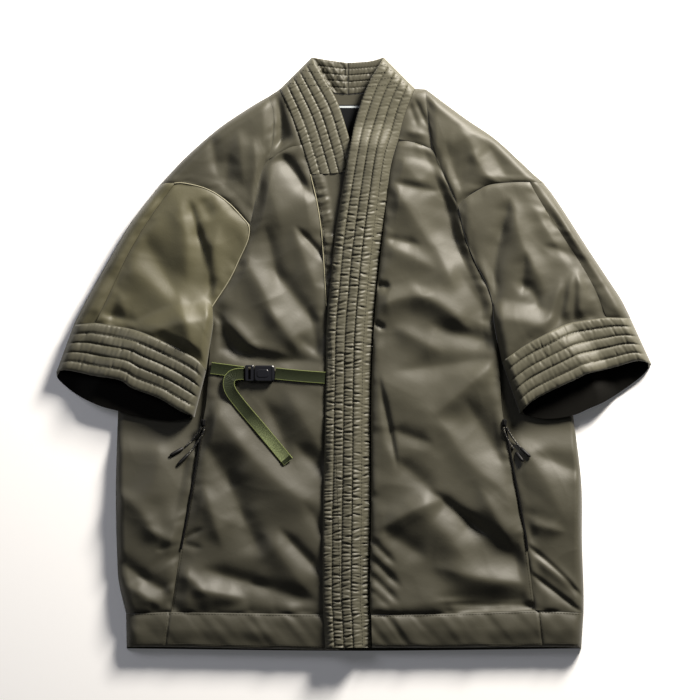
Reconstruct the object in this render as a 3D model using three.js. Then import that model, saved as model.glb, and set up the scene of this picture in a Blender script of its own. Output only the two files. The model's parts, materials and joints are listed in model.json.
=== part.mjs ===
// A padded wrap-front robe with wide sleeves, laid flat on its back.
// Millimetres, +Z up; +Y runs from the hem to the neck. "Right" is the wearer's right, at -X.
// The robe is two layers of padded panels: the lower one lies flat on z = 0, and the upper
// one stands clear of it, rolls down at the outline and lands on its edge.
import * as THREE from "three";

// Driving sizes
const WALL = 5; // padded cloth, pressed at its seams
const HALF_GAP = 0.15; // each panel stops this far from the middle of a seam
const LAND = 0.3; // what lies on a panel is this far above it
const BODY_HOLLOW = 7; // clear height between back and fronts
const SLEEVE_HOLLOW = 9; // clear height inside a sleeve
const ROLL = 14; // how far in from the outline a panel starts to turn down
const PUFF = 4; // how far the filling rises between seams
const PINCH = 9; // how far from a seam the filling is held down
const QUILT = 2.6; // height of a sewn channel
const CHANNELS = 5; // channels in the collar, the front band and the cuffs
const LOW_RIB = 0.7; // how high a collar or lapel channel is, as a share of QUILT
const LOW_PUFF = 0.6; // how far a yoke or hem band fills, as a share of PUFF
const PILLOWS = { cuff: 14, lapel: 16, band: 46 }; // puckers along a channel
const OVERLAP_WIDTH = 26; // how far the right front goes under the left front band
const TURN = { before: 0.05, over: 0.15 }; // share of a sleeve's inner side on which it starts to turn down
const CUFF_WALL = 4.5;
const SUPPORT_SPAN = { full: 30, gone: 60 }; // outside the body's side, where a sleeve comes down
const PRESSED = { from: -150, to: -112 }; // along y, where the side panel swells from flat
const BAND_REST = 2; // how far past the right front the band stays level
const BAND_LIFT = { from: 300, to: 262 }; // along y, where the band climbs over the lapel
const RIBBON_CLEAR = 0.55; // a strip clears the cloth this share of its width round it
const CORD_JOINT = 0.6; // from the cord's last point to its moulded end
const CORD_REACH = 4; // a cord clears the cloth this far round it
const FLAT_FACE = 1e-6; // faces that stand upright cover no ground
const LEAST = 0.4; // shortest edge
const MARK_APART = 0.002; // marks nearer than this share of a side are one
const WEBBING = { width: 15, thick: 1.8 };
const ZIP = { width: 3, thick: 1.4 };
const CORD = { radius: 1.25, endRadius: 2.1, sides: 8 };

// Heights worked out from them
const FRONT_IN = WALL + BODY_HOLLOW;
const FRONT_OUT = FRONT_IN + WALL;
const SIDE_LOW_IN = WALL + 1; // the side panel is pressed flat under the sleeve
const SUPPORT = SIDE_LOW_IN + WALL + 2 * LAND; // a sleeve's underside where it lies on the body
const BAND_IN = FRONT_OUT + PUFF + LAND; // the left front band where it lies on the right front

// Materials
const finish = (color, roughness, metalness = 0) =>
  new THREE.MeshStandardMaterial({ color, roughness, metalness });
const NYLON = finish(0x68624e, 0.55);
const WEB = finish(0x5f7340, 0.8);
const BUCKLE = finish(0x17181d, 0.45);
const ZIPPER = finish(0x1c1c1e, 0.6);
const CORD_BLACK = finish(0x141416, 0.8);
const LABEL = finish(0x26262a, 0.7);

// Seams and edges. Columns: x, y. Each runs downwards or outwards from the neck.
const line = (...rows) => rows.map(([x, y]) => ({ x, y }));
const chain = (...lines) => lines.flatMap((part, i) => (i ? part.slice(1) : part));

const RIGHT = {
  raglanTop: line([-109, 330], [-103, 308], [-104, 274], [-108, 250]),
  raglanLow: line([-108, 250], [-116, 238], [-124, 206], [-133, 165]),
  armhole: line([-133, 165], [-135, 147], [-146, 122], [-159, 95], [-181, 61]),
  underarm: line([-181, 61], [-180, 39], [-184, 12]),
  sleeveEnd: line([-184, 12], [-189, -21]),
  pocket: line([-184, 12], [-189, -59], [-193, -84], [-210, -187], [-223, -257], [-234, -330]),
  shoulder: line([-109, 330], [-133, 316], [-173, 289], [-213, 254], [-234, 232], [-246, 219]),
  arcOut: line([-246, 219], [-229, 219]),
  arc: line([-229, 219], [-216, 219], [-186, 211], [-159, 193], [-133, 165]),
  sleeveEdge: line([-246, 219], [-267, 193], [-289, 163], [-313, 122], [-340, 74], [-359, 37]),
  sleeveSeam: line([-229, 219], [-252, 187], [-274, 154], [-293, 120], [-308, 88], [-331, 40]),
  cuffOut: line([-359, 37], [-331, 40]),
  cuffTop: line([-331, 40], [-306, 36], [-281, 31], [-257, 22], [-230, 9], [-202, -6], [-189, -21]),
  cuffFront: line([-381, -23], [-368, -21], [-334, -28], [-300, -34], [-284, -44], [-250, -57],
    [-223, -73], [-204, -81]),
  cuffBack: line([-381, -23], [-378, -33], [-355, -52], [-327, -66], [-302, -73], [-271, -81],
    [-236, -85], [-204, -81]),
  hidden: line([-184, 12], [-229, 3], [-274, -23], [-302, -59]),
  side: line([-302, -59], [-302, -69], [-305, -175], [-303, -269], [-300, -298], [-292, -332]),
  hemSide: line([-292, -332], [-291, -375]),
  hemSeamSide: line([-292, -332], [-234, -330]),
  hemSeam: line([-234, -330], [-44, -333], [-20, -333]),
  hemEdge: line([-291, -375], [-239, -375], [-38, -379], [-20, -379]),
};

const LEFT = {
  raglanTop: line([92, 339], [95, 300], [100, 263]),
  raglanLow: line([100, 263], [119, 220], [134, 187]),
  armhole: line([134, 187], [142, 152], [154, 120], [172, 84], [178, 63]),
  underarm: line([178, 63], [179, 41], [184, 13]),
  sleeveEnd: line([184, 13], [189, -10]),
  pocket: line([184, 13], [187, -33], [191, -79], [204, -148], [219, -229], [225, -272], [232, -328]),
  shoulder: line([92, 339], [142, 302], [180, 276], [212, 247], [230, 230], [242, 220]),
  arcOut: line([242, 220], [225, 220]),
  arc: line([225, 220], [206, 220], [175, 217], [159, 210], [142, 199], [134, 187]),
  sleeveEdge: line([242, 220], [260, 196], [298, 137], [325, 96], [342, 70], [354, 46]),
  sleeveSeam: line([225, 220], [244, 187], [268, 150], [290, 116], [308, 84], [323, 47]),
  cuffOut: line([354, 46], [323, 47]),
  cuffTop: line([323, 47], [293, 43], [270, 38], [244, 25], [217, 10], [189, -10]),
  cuffFront: line([381, -13], [364, -9], [338, -16], [323, -20], [298, -26], [286, -32], [234, -57],
    [212, -76]),
  cuffBack: line([381, -13], [371, -26], [352, -41], [323, -60], [301, -70], [279, -79], [244, -83],
    [212, -76]),
  hidden: line([184, 13], [221, 5], [259, -23], [280, -59]),
  side: line([280, -59], [280, -74], [291, -164], [292, -241], [294, -303], [294, -331]),
  hemSide: line([294, -331], [291, -376]),
  hemSeamSide: line([294, -331], [232, -328]),
  hemSeam: line([232, -328], [123, -332], [22, -334]),
  hemEdge: line([291, -376], [243, -375], [123, -376], [23, -376]),
};

// The neck, the collar and the front edges. Columns: x, y.
const NECK = line([-109, 330], [-95, 339], [-8, 332], [78, 340], [92, 339]);
const COLLAR = {
  seamTop: line([-95, 339], [-82, 310], [-69, 275], [-67, 268]),
  seamLow: line([-67, 268], [-55, 230]),
  right: line([-54, 380], [-37, 351], [-20, 320], [-5, 273], [4, 238]),
  rightFold: line([-95, 339], [-54, 380]),
  left: line([38, 380], [19, 348], [3, 304], [-6, 262], [-17, 201], [-25, 147], [-30, 93],
    [-35, 39], [-36, -26], [-38, -123], [-40, -212], [-40, -315], [-37, -376]),
  leftFold: line([38, 380], [78, 340]),
  leftSeam: line([78, 340], [65, 306], [57, 275], [47, 239], [41, 190], [36, 146], [28, 69],
    [24, 5], [22, -64], [22, -188], [20, -315], [22, -334], [23, -376]),
  lapelFoot: line([-55, 230], [-19, 232], [4, 238]),
  backTopRight: line([-54, 380], [-31, 376], [-8, 373]),
  backTopLeft: line([-8, 373], [20, 375], [38, 380]),
  middle: line([-8, 373], [-8, 332]),
};
const YOKE_RIGHT = line([-108, 250], [-84, 264], [-67, 268]);
const YOKE_LEFT = line([57, 275], [77, 271], [100, 263]);
const STRIP_SEAM = line([-55, 230], [-46, 191], [-40, 146], [-35, 69], [-31, -9], [-26, -123],
  [-22, -251], [-20, -333], [-20, -379]);

// The largest folds. A ridge has a height above nought, and a trough one below it.
const FOLDS = [
  { x0: -170, y0: 40, x1: -70, y1: -120, width: 22, height: 4 },
  { x0: -60, y0: 150, x1: -130, y1: 20, width: 18, height: 3.5 },
  { x0: -200, y0: -150, x1: -90, y1: -290, width: 24, height: 4 },
  { x0: -120, y0: -60, x1: -60, y1: -240, width: 16, height: -2.5 },
  { x0: 50, y0: 180, x1: 150, y1: 60, width: 20, height: 4 },
  { x0: 60, y0: 60, x1: 160, y1: -150, width: 22, height: 4 },
  { x0: 109, y0: -186, x1: 223, y1: -269, width: 14, height: -3 },
  { x0: 70, y0: -140, x1: 180, y1: -310, width: 24, height: 4 },
  { x0: -211, y0: 184, x1: -190, y1: 92, width: 13, height: -3 },
  { x0: -190, y0: 92, x1: -180, y1: 58, width: 13, height: -3 },
  { x0: -290, y0: 110, x1: -215, y1: 40, width: 18, height: 3.5 },
  { x0: 290, y0: 115, x1: 215, y1: 40, width: 18, height: 3.5 },
  { x0: 205, y0: 190, x1: 195, y1: 90, width: 14, height: -3 },
];

const smooth = (f) => {
  const c = Math.min(1, Math.max(0, f));
  return c * c * (3 - 2 * c);
};
const apart = (a, b) => Math.hypot(a.x - b.x, a.y - b.y);
const between = (a, b, f) => ({ x: a.x + (b.x - a.x) * f, y: a.y + (b.y - a.y) * f });
const reversed = (points) => [...points].reverse();

function fromSegment(p, a, b) {
  const along = (p.x - a.x) * (b.x - a.x) + (p.y - a.y) * (b.y - a.y);
  const f = Math.min(1, Math.max(0, along / (apart(a, b) ** 2)));
  return apart(p, between(a, b, f));
}

const fromLine = (p, points) =>
  Math.min(...points.slice(1).map((b, i) => fromSegment(p, points[i], b)));

function folds(p) {
  return FOLDS.reduce((sum, { x0, y0, x1, y1, width, height }) => {
    const d = fromSegment(p, { x: x0, y: y0 }, { x: x1, y: y1 });
    return sum + height * Math.exp(-((d / width) ** 2));
  }, 0);
}

// Vertices of a line as fractions of its length, and the point at a fraction of it.
function fractions(points) {
  const sums = [0];
  points.slice(1).forEach((p, i) => sums.push(sums[i] + apart(p, points[i])));
  return sums.map((s) => s / sums.at(-1));
}

function at(points, f) {
  const marks = fractions(points);
  const i = Math.min(points.length - 2, Math.max(0, marks.findIndex((m) => m >= f - 1e-9) - 1));
  return between(points[i], points[i + 1], (f - marks[i]) / (marks[i + 1] - marks[i]));
}

// Moves the four sides of a panel inwards by half a seam gap, with mitred corners.
function inset(sides, gap = HALF_GAP) {
  const order = [sides.top, sides.right, reversed(sides.bottom), reversed(sides.left)];
  const loop = order.flatMap((side) => side.slice(0, -1));
  const area = loop.reduce((sum, p, i) => {
    const q = loop[(i + 1) % loop.length];
    return sum + p.x * q.y - q.x * p.y;
  }, 0);
  const inward = (a, b) => {
    const k = (Math.sign(area) * gap) / apart(a, b);
    return { x: -(b.y - a.y) * k, y: (b.x - a.x) * k };
  };
  const moved = loop.map((p, i) => {
    const m = inward(loop.at(i - 1), p);
    const n = inward(p, loop[(i + 1) % loop.length]);
    const scale = Math.max(0.3, 1 + (m.x * n.x + m.y * n.y) / gap ** 2);
    return { x: p.x + (m.x + n.x) / scale, y: p.y + (m.y + n.y) / scale };
  });
  let start = 0;
  const [top, right, bottom, left] = order.map((side) => {
    const cut = side.map((_, i) => moved[(start + i) % moved.length]);
    start += side.length - 1;
    return cut;
  });
  return { top, right, bottom: reversed(bottom), left: reversed(left) };
}

// A point inside four sides: the two ruled surfaces between opposite sides, less the corners.
function spread({ left, right, top, bottom }) {
  return (u, v) => {
    const [l, r, t, b] = [at(left, v), at(right, v), at(top, u), at(bottom, u)];
    const mix = (k) => (1 - u) * l[k] + u * r[k] + (1 - v) * t[k] + v * b[k]
      - (1 - v) * ((1 - u) * left[0][k] + u * right[0][k])
      - v * ((1 - u) * left.at(-1)[k] + u * right.at(-1)[k]);
    return { x: mix("x"), y: mix("y") };
  };
}

// Even steps together with the marks that have to be met; a step near a mark is dropped.
function cuts(steps, marks, soft = []) {
  const met = [];
  [0, 1, ...marks].forEach((m) => {
    if (met.every((k) => Math.abs(k - m) > MARK_APART)) met.push(m);
  });
  const even = Array.from({ length: steps - 1 }, (_, i) => (i + 1) / steps);
  const near = soft.filter((e) => e < 1 && e > 0 && met.every((m) => Math.abs(m - e) > 3 * MARK_APART));
  const far = even.filter((e) => [...met, ...near].every((m) => Math.abs(m - e) > 0.45 / steps));
  return [...met, ...near, ...far].sort((p, q) => p - q);
}

// A sorted list with its neighbours at least this far apart, and its ends kept.
function spaced(list, least) {
  const sorted = [...list].sort((p, q) => p - q);
  for (let i = 1; i < sorted.length; i += 1) sorted[i] = Math.max(sorted[i], sorted[i - 1] + least);
  sorted[sorted.length - 1] = list.reduce((p, q) => Math.max(p, q));
  for (let i = sorted.length - 2; i > 0; i -= 1) sorted[i] = Math.min(sorted[i], sorted[i + 1] - least);
  return sorted;
}

// A closed wall between an outer and an inner grid of points [row][column] with x, y, z.
function wall(outer, inner, ring = false) {
  const position = [];
  const index = [];
  const number = (grid) => grid.map((row) => row.map((p) => position.push(p.x, p.y, p.z) / 3 - 1));
  const fill = (ids, turned) => {
    for (let j = 0; j + 1 < ids.length; j += 1) {
      const width = ids[j].length;
      for (let i = 0; i + 1 < width + (ring ? 1 : 0); i += 1) {
        const k = (i + 1) % width;
        const [a, b, c, d] = [ids[j][i], ids[j][k], ids[j + 1][k], ids[j + 1][i]];
        index.push(...(turned ? [a, c, b, a, d, c] : [a, b, c, a, c, d]));
      }
    }
  };
  const span = (p, q) => Math.hypot(...[0, 1, 2].map((k) => position[3 * p + k] - position[3 * q + k]));
  const zip = (near, far) => {
    let [i, j] = [0, 0];
    while (i + 1 < near.length || j + 1 < far.length) {
      const ahead = i + 1 < near.length ? span(near[i + 1], far[j]) : Infinity;
      const behind = j + 1 < far.length ? span(near[i], far[j + 1]) : Infinity;
      if (ahead <= behind) {
        index.push(near[i], far[j], near[i + 1]);
        i += 1;
      } else {
        index.push(near[i], far[j], far[j + 1]);
        j += 1;
      }
    }
  };
  const [a, b] = [number(outer), number(inner)];
  fill(a, false);
  fill(b, true);
  const shut = (row) => (ring ? [...row, row[0]] : row);
  zip(shut(a[0]), shut(b[0]));
  zip(reversed(shut(a.at(-1))), reversed(shut(b.at(-1))));
  if (!ring) {
    const column = (ids, i) => ids.map((row) => row.at(i));
    zip(reversed(column(a, 0)), reversed(column(b, 0)));
    zip(column(a, -1), column(b, -1));
  }
  return closed(position, index);
}

// Turns the faces outwards, whichever way round the grid ran.
function closed(position, index) {
  const p = (id) => new THREE.Vector3().fromArray(position, 3 * id);
  let volume = 0;
  for (let i = 0; i < index.length; i += 3) {
    volume += p(index[i]).dot(p(index[i + 1]).cross(p(index[i + 2])));
  }
  if (volume < 0) index.reverse();
  const geometry = new THREE.BufferGeometry();
  geometry.setAttribute("position", new THREE.Float32BufferAttribute(position, 3));
  geometry.setIndex(index);
  geometry.computeVertexNormals();
  return geometry;
}

const robe = new THREE.Group();

function add(name, geometry, material = NYLON) {
  const mesh = new THREE.Mesh(geometry, material);
  mesh.name = name;
  robe.add(mesh);
  return mesh;
}

// Quarter-round from 0 at the edge to 1 at the reach.
const round = (d, reach) => Math.sqrt(1 - (1 - Math.min(1, Math.max(0, d / reach))) ** 2);
const ROUND_STEPS = [0, 0.06, 0.25, 0.55, 1];

/* One panel. under(p) is the height of its plain inside, and ribs(u, v) what is sewn into its
   outside. rolled names the sides that turn down, to the height land(p): true, or how far at v. */
function panel(name, sides, options) {
  const { cols, rows, under, thick = WALL, puff = PUFF, reach = ROLL, plain = [1, 1] } = options;
  const { rolled = {}, land = () => WALL + LAND, ribs = () => 0, colMarks = [], rowMarks = [] } = options;
  const edge = inset(sides);
  const plan = spread(edge);
  const width = (v) => apart(at(edge.left, v), at(edge.right, v));
  const length = (u) => apart(at(edge.top, u), at(edge.bottom, u));
  const middle = length(0.5);
  const share = (side, v) =>
    (typeof rolled[side] === "function" ? rolled[side](v) : Number(Boolean(rolled[side])));
  const near = (side) => (rolled[side] ? ROUND_STEPS.map((s) => s * reach) : puff ? [PINCH] : []);
  const across = [...fractions(edge.top), ...fractions(edge.bottom)];
  const down = [...fractions(edge.left), ...fractions(edge.right)];
  const distances = (u, v) => ({
    left: u * width(v), right: (1 - u) * width(v), top: v * length(u), bottom: (1 - v) * length(u),
  });
  const point = (u, v, gone) => {
    const p = plan(u, v);
    const d = distances(u, v);
    let z = under(p);
    if (!gone) {
      const held = Object.keys(d).filter((side) => !rolled[side])
        .reduce((k, side) => k * (1 - Math.exp(-d[side] / PINCH)), 1);
      z += thick + (puff ? held * (puff + folds(p)) : 0) + ribs(u, v, p);
    }
    const floor = land(p);
    Object.keys(rolled).forEach((side) => {
      z = floor + (z - floor) * (1 - share(side, v) * (1 - round(d[side] - gone, reach - gone)));
    });
    return { ...p, z };
  };
  const outerRows = cuts(rows, [...down, ...rowMarks],
    [...near("top").map((d) => d / middle), ...near("bottom").map((d) => 1 - d / middle)]);
  const outerCols = cuts(cols, [...across, ...colMarks]);
  const outer = outerRows.map((v) => {
    const w = width(v);
    const list = [...outerCols, ...near("left").map((d) => d / w), ...near("right").map((d) => 1 - d / w)];
    return spaced(list, LEAST / w).map((u) => point(u, v, 0));
  });
  const held = (list, from, to, least) =>
    spaced(list.map((f) => Math.min(to, Math.max(from, f))), least);
  const innerRows = held(cuts(plain[1], down), (thick * share("top", 0)) / middle,
    1 - (thick * share("bottom", 1)) / middle, LEAST / middle);
  const innerCols = cuts(plain[0], across);
  const inner = innerRows.map((v) => {
    const w = width(v);
    const [from, to] = [(thick * share("left", v)) / w, 1 - (thick * share("right", v)) / w];
    return held(innerCols, from, to, LEAST / w).map((u) => point(u, v, thick));
  });
  return add(name, wall(outer, inner), options.material);
}

// Channels sewn across a panel, puckered by turns from row to row.
const CHANNEL_MARKS = Array.from({ length: 2 * CHANNELS - 1 }, (_, i) => (i + 1) / (2 * CHANNELS));
const channel = (f) => Math.sin(Math.PI * CHANNELS * f) ** 2;
const pucker = (f, along, count) =>
  1 + 0.3 * Math.cos(Math.PI * count * along + Math.PI * Math.floor(CHANNELS * f));

// Height of what a sleeve lies on: the floor, or the side of the body.
function support(body) {
  const shape = chain(body.pocket, reversed(body.side), reversed(body.hidden));
  const within = (p) => shape.reduce((odd, a, i) => {
    const b = shape[(i + 1) % shape.length];
    const crosses = a.y > p.y !== b.y > p.y && p.x < a.x + ((p.y - a.y) / (b.y - a.y)) * (b.x - a.x);
    return crosses ? !odd : odd;
  }, false);
  return (p) => {
    const d = within(p) ? 0 : fromLine(p, shape);
    return SUPPORT * (1 - smooth((d - SUPPORT_SPAN.full) / (SUPPORT_SPAN.gone - SUPPORT_SPAN.full)));
  };
}

// The lower layer: the back, the shoulder backs and the back hem, flat on the floor.
const flat = { under: () => 0, puff: 0 };
const bodySide = (body) => chain(body.raglanTop, body.raglanLow, body.armhole, body.underarm, body.hidden,
  body.side);
const HEM_BACK_TOP = line([-292, -332], [0, -334], [294, -331]);
const HEM_BACK_EDGE = line([-291, -377], [0, -380], [291, -377]);
panel("back", { top: NECK, bottom: HEM_BACK_TOP, left: bodySide(RIGHT), right: bodySide(LEFT) },
  { ...flat, cols: 4, rows: 8 });
panel("hem_back", {
  top: HEM_BACK_TOP,
  bottom: HEM_BACK_EDGE,
  left: line([-292, -332], [-291, -377]),
  right: line([294, -331], [291, -377]),
}, { ...flat, cols: 4, rows: 1 });

// The shoulder panels, front and back; the front turns down along the top of the shoulder.
function shoulder(side, body) {
  const arc = chain(body.arcOut, body.arc);
  const sides = { left: body.shoulder, right: body.raglanLow, top: body.raglanTop, bottom: arc };
  panel(`shoulder_back_${side}`, sides, { ...flat, cols: 3, rows: 3 });
  panel(`shoulder_front_${side}`, sides, {
    cols: 6, rows: 7, under: () => FRONT_IN, rolled: { left: true }, plain: [3, 3],
  });
}

// A sleeve: its front, and its back, which goes under the arm's top edge from a seam on the front.
function sleeve(side, body) {
  const lies = support(body);
  const top = chain(body.arcOut, body.arc);
  const end = chain(body.cuffOut, body.cuffTop);
  const inside = chain(body.armhole, body.underarm, body.sleeveEnd);
  const fold = fractions(inside)[body.armhole.length - 1];
  const facing = { left: body.sleeveSeam, right: inside, top: body.arc, bottom: body.cuffTop };
  panel(`sleeve_front_${side}`, facing, {
    cols: 7, rows: 9, plain: [6, 7],
    under: (p) => lies(p) + WALL + SLEEVE_HOLLOW,
    land: (p) => lies(p) + WALL + 2 * LAND,
    rolled: { right: (v) => smooth((v - fold + TURN.before) / TURN.over) },
  });
  const below = inset({ left: body.sleeveEdge, right: inside, top, bottom: end });
  const above = inset({
    left: body.sleeveEdge, right: body.sleeveSeam, top: body.arcOut, bottom: body.cuffOut,
  });
  const planBelow = spread(below);
  const planAbove = spread(above);
  const rows = cuts(8, [...fractions(below.left), ...fractions(below.right), ...fractions(above.right)]);
  const cols = cuts(8, [...fractions(below.top), ...fractions(below.bottom)]);
  const high = 2 * WALL + SLEEVE_HOLLOW;
  const section = (v, gone) => {
    const near = apart(at(above.left, v), at(above.right, v));
    const wide = apart(at(below.left, v), at(below.right, v));
    const over = ROUND_STEPS.map((s) => Math.min(near, gone + s * (ROLL - gone)));
    const turned = spaced([...over, near], LEAST).reverse().map((e) => {
      const p = planAbove(e / near, v);
      return { ...p, z: lies(p) + gone + (high - 2 * gone) * round(e - gone, ROLL - gone) };
    });
    const first = spaced(cols.map((u) => Math.max(u, gone / wide)), LEAST / wide);
    const under = first.slice(1).map((u) => {
      const p = planBelow(u, v);
      return { ...p, z: lies(p) + gone };
    });
    return [...turned, ...under];
  };
  add(`sleeve_back_${side}`, wall(rows.map((v) => section(v, 0)), rows.map((v) => section(v, WALL))));
}

// A cuff: an open ring of five channels, whose back lip shows below its front one.
function cuff(side, body) {
  const lies = support(body);
  const top = chain(body.cuffOut, body.cuffTop);
  const edges = { left: [top[0], body.cuffFront[0]], right: [top.at(-1), body.cuffFront.at(-1)], top };
  const front = inset({ ...edges, bottom: body.cuffFront });
  const back = inset({ ...edges, bottom: body.cuffBack });
  const high = 2 * WALL + SLEEVE_HOLLOW + 1;
  const columns = (sides, steps) => cuts(steps, [...fractions(sides.top), ...fractions(sides.bottom)]);
  const section = (w, gone) => {
    const [planFront, planBack] = [spread(front), spread(back)];
    const wide = apart(at(front.left, w), at(front.right, w));
    const rounds = ROUND_STEPS.map((s) => (gone + s * (ROLL - gone)) / wide);
    const list = [...columns(front, 7).filter((u) => u > gone / wide && u < 1 - gone / wide),
      gone / wide, 1 - gone / wide, ...rounds, ...rounds.map((f) => 1 - f)];
    const upper = spaced(list, LEAST / wide).map((u) => {
      const p = planFront(u, w);
      const d = Math.min(u, 1 - u) * wide;
      const sewn = gone ? 0 : QUILT * channel(w) * pucker(w, u, PILLOWS.cuff);
      return { ...p, z: lies(p) + gone + (high - 2 * gone + sewn) * round(d - gone, ROLL - gone) };
    });
    const lower = columns(back, 7).slice(1, -1).reverse().map((u) => {
      const p = planBack(u, w);
      return { ...p, z: lies(p) + gone };
    });
    return [...upper, ...lower];
  };
  const outer = [0, ...CHANNEL_MARKS, 1].map((w) => section(w, 0));
  const inner = [0, 1].map((w) => section(w, CUFF_WALL));
  add(`cuff_${side}`, wall(outer, inner, true));
}

// A side panel, from the pocket seam to the edge, pressed flat under the sleeve.
function sidePanel(side, body) {
  const low = (p) => {
    const open = smooth((PRESSED.to - p.y) / (PRESSED.to - PRESSED.from));
    return SIDE_LOW_IN + (FRONT_IN - SIDE_LOW_IN) * open;
  };
  const swell = (p) => smooth((PRESSED.to - p.y) / (PRESSED.to - PRESSED.from));
  const sides = { left: body.side, right: body.pocket, top: reversed(body.hidden), bottom: body.hemSeamSide };
  return panel(`side_${side}`, sides, {
    cols: 4, rows: 20, plain: [2, 14], under: low, puff: 0, rolled: { left: true },
    ribs: (u, v, p) => LOW_RIB * PUFF * Math.sin(Math.PI * u) * swell(p),
  });
}

for (const [side, body] of [["right", RIGHT], ["left", LEFT]]) {
  shoulder(side, body);
  sleeve(side, body);
  cuff(side, body);
}
const sideRight = sidePanel("right", RIGHT);
const sideLeft = sidePanel("left", LEFT);

// The fronts, from the yoke to the hem seam, and the hem bands across front and side.
const front = { under: () => FRONT_IN };
const frontEdge = (body) => chain(body.raglanLow, body.armhole, body.underarm, body.pocket);
const cut = (points, from, to) => points.slice(from, to);
const stripToHem = cut(STRIP_SEAM, 0, -1);
const bandToHem = cut(COLLAR.leftSeam, 2, -1);
const frontRight = panel("front_right", {
  left: frontEdge(RIGHT),
  right: chain(COLLAR.seamLow, stripToHem),
  top: YOKE_RIGHT,
  bottom: RIGHT.hemSeam,
}, { ...front, cols: 7, rows: 20 });
const frontLeft = panel("front_left", {
  left: bandToHem,
  right: frontEdge(LEFT),
  top: YOKE_LEFT,
  bottom: reversed(LEFT.hemSeam),
}, { ...front, cols: 8, rows: 20 });
const hemRight = panel("hem_right", {
  left: RIGHT.hemSide,
  right: cut(STRIP_SEAM, -2),
  top: chain(RIGHT.hemSeamSide, RIGHT.hemSeam),
  bottom: RIGHT.hemEdge,
}, { ...front, cols: 22, rows: 3, puff: LOW_PUFF * PUFF, rolled: { left: true } });
const hemLeft = panel("hem_left", {
  left: cut(COLLAR.leftSeam, -2),
  right: LEFT.hemSide,
  top: reversed(chain(LEFT.hemSeamSide, LEFT.hemSeam)),
  bottom: reversed(LEFT.hemEdge),
}, { ...front, cols: 22, rows: 3, puff: LOW_PUFF * PUFF, rolled: { right: true } });

// The yokes, between the collar seam and the shoulder panel.
const yoke = { ...front, cols: 3, rows: 5, rolled: { top: true }, puff: LOW_PUFF * PUFF };
panel("yoke_right", {
  left: RIGHT.raglanTop,
  right: COLLAR.seamTop,
  top: cut(NECK, 0, 2),
  bottom: YOKE_RIGHT,
}, yoke);
panel("yoke_left", {
  left: cut(COLLAR.leftSeam, 0, 3),
  right: LEFT.raglanTop,
  top: cut(NECK, 3),
  bottom: YOKE_LEFT,
}, yoke);

// The back collar, in two halves with its sewn rows along the neck.
const collarBack = {
  ...flat, cols: 4, rows: 1, rowMarks: CHANNEL_MARKS, ribs: (u, v) => LOW_RIB * QUILT * channel(v),
};
panel("collar_back_right", {
  left: [COLLAR.right[0], NECK[1]],
  right: COLLAR.middle,
  top: COLLAR.backTopRight,
  bottom: cut(NECK, 1, 3),
}, collarBack);
panel("collar_back_left", {
  left: COLLAR.middle,
  right: [COLLAR.left[0], NECK[3]],
  top: COLLAR.backTopLeft,
  bottom: cut(NECK, 2, 4),
}, collarBack);

// The lapel of the right front, the facing strip below it, and the left front band over both.
const overCollar = () => WALL + LOW_RIB * QUILT + LAND;
const lapel = panel("lapel_right", {
  left: chain(COLLAR.seamTop, COLLAR.seamLow),
  right: COLLAR.right,
  top: COLLAR.rightFold,
  bottom: COLLAR.lapelFoot,
}, {
  ...front, cols: 10, rows: 16, puff: 0, colMarks: CHANNEL_MARKS, rolled: { top: true }, land: overCollar,
  ribs: (u, v) => LOW_RIB * QUILT * channel(u) * pucker(u, v, PILLOWS.lapel),
});
const moved = (points, x) => points.map((p) => ({ x: p.x + x, y: p.y }));
const stripEdge = [COLLAR.lapelFoot.at(-1), ...moved(cut(COLLAR.left, 5), OVERLAP_WIDTH)];
const stripRight = panel("strip_right", {
  left: STRIP_SEAM,
  right: [...cut(stripEdge, 0, -1), { x: stripEdge.at(-1).x, y: STRIP_SEAM.at(-1).y }],
  top: COLLAR.lapelFoot,
  bottom: [STRIP_SEAM.at(-1), { x: stripEdge.at(-1).x, y: STRIP_SEAM.at(-1).y }],
}, { ...front, cols: 3, rows: 14, puff: 0 });
const bandWidth = apart(COLLAR.left[6], COLLAR.leftSeam[5]);
const bandUnder = (p) => {
  const d = fromLine(p, COLLAR.left);
  const down = smooth((d - OVERLAP_WIDTH - BAND_REST) / (bandWidth - OVERLAP_WIDTH));
  const lifted = BAND_IN - (BAND_IN - FRONT_IN) * down;
  const started = smooth((BAND_LIFT.from - p.y) / (BAND_LIFT.from - BAND_LIFT.to));
  return FRONT_IN + (lifted - FRONT_IN) * started;
};
panel("band_left", {
  left: COLLAR.left,
  right: COLLAR.leftSeam,
  top: COLLAR.leftFold,
  bottom: line([-37, -376], [23, -376]),
}, {
  cols: 10, rows: PILLOWS.band, plain: [4, 20], puff: 0, colMarks: CHANNEL_MARKS, rolled: { top: true },
  under: bandUnder, land: overCollar,
  ribs: (u, v) => QUILT * channel(u) * pucker(u, v, PILLOWS.band),
});

// The highest face of the given meshes over a point.
function topOf(meshes, p) {
  let highest = -Infinity;
  for (const { geometry } of meshes) {
    const corner = geometry.attributes.position;
    const ids = geometry.index.array;
    for (let i = 0; i < ids.length; i += 3) {
      const [a, b, c] = [0, 1, 2].map((k) => new THREE.Vector3().fromBufferAttribute(corner, ids[i + k]));
      const [ab, ac] = [b.sub(a), c.sub(a)];
      const det = ab.x * ac.y - ac.x * ab.y;
      const s = ((p.x - a.x) * ac.y - ac.x * (p.y - a.y)) / det;
      const t = (ab.x * (p.y - a.y) - (p.x - a.x) * ab.y) / det;
      const inside = Math.abs(det) > FLAT_FACE && s >= 0 && t >= 0 && s + t <= 1;
      if (inside) highest = Math.max(highest, a.z + s * ab.z + t * ac.z);
    }
  }
  return highest;
}

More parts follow.
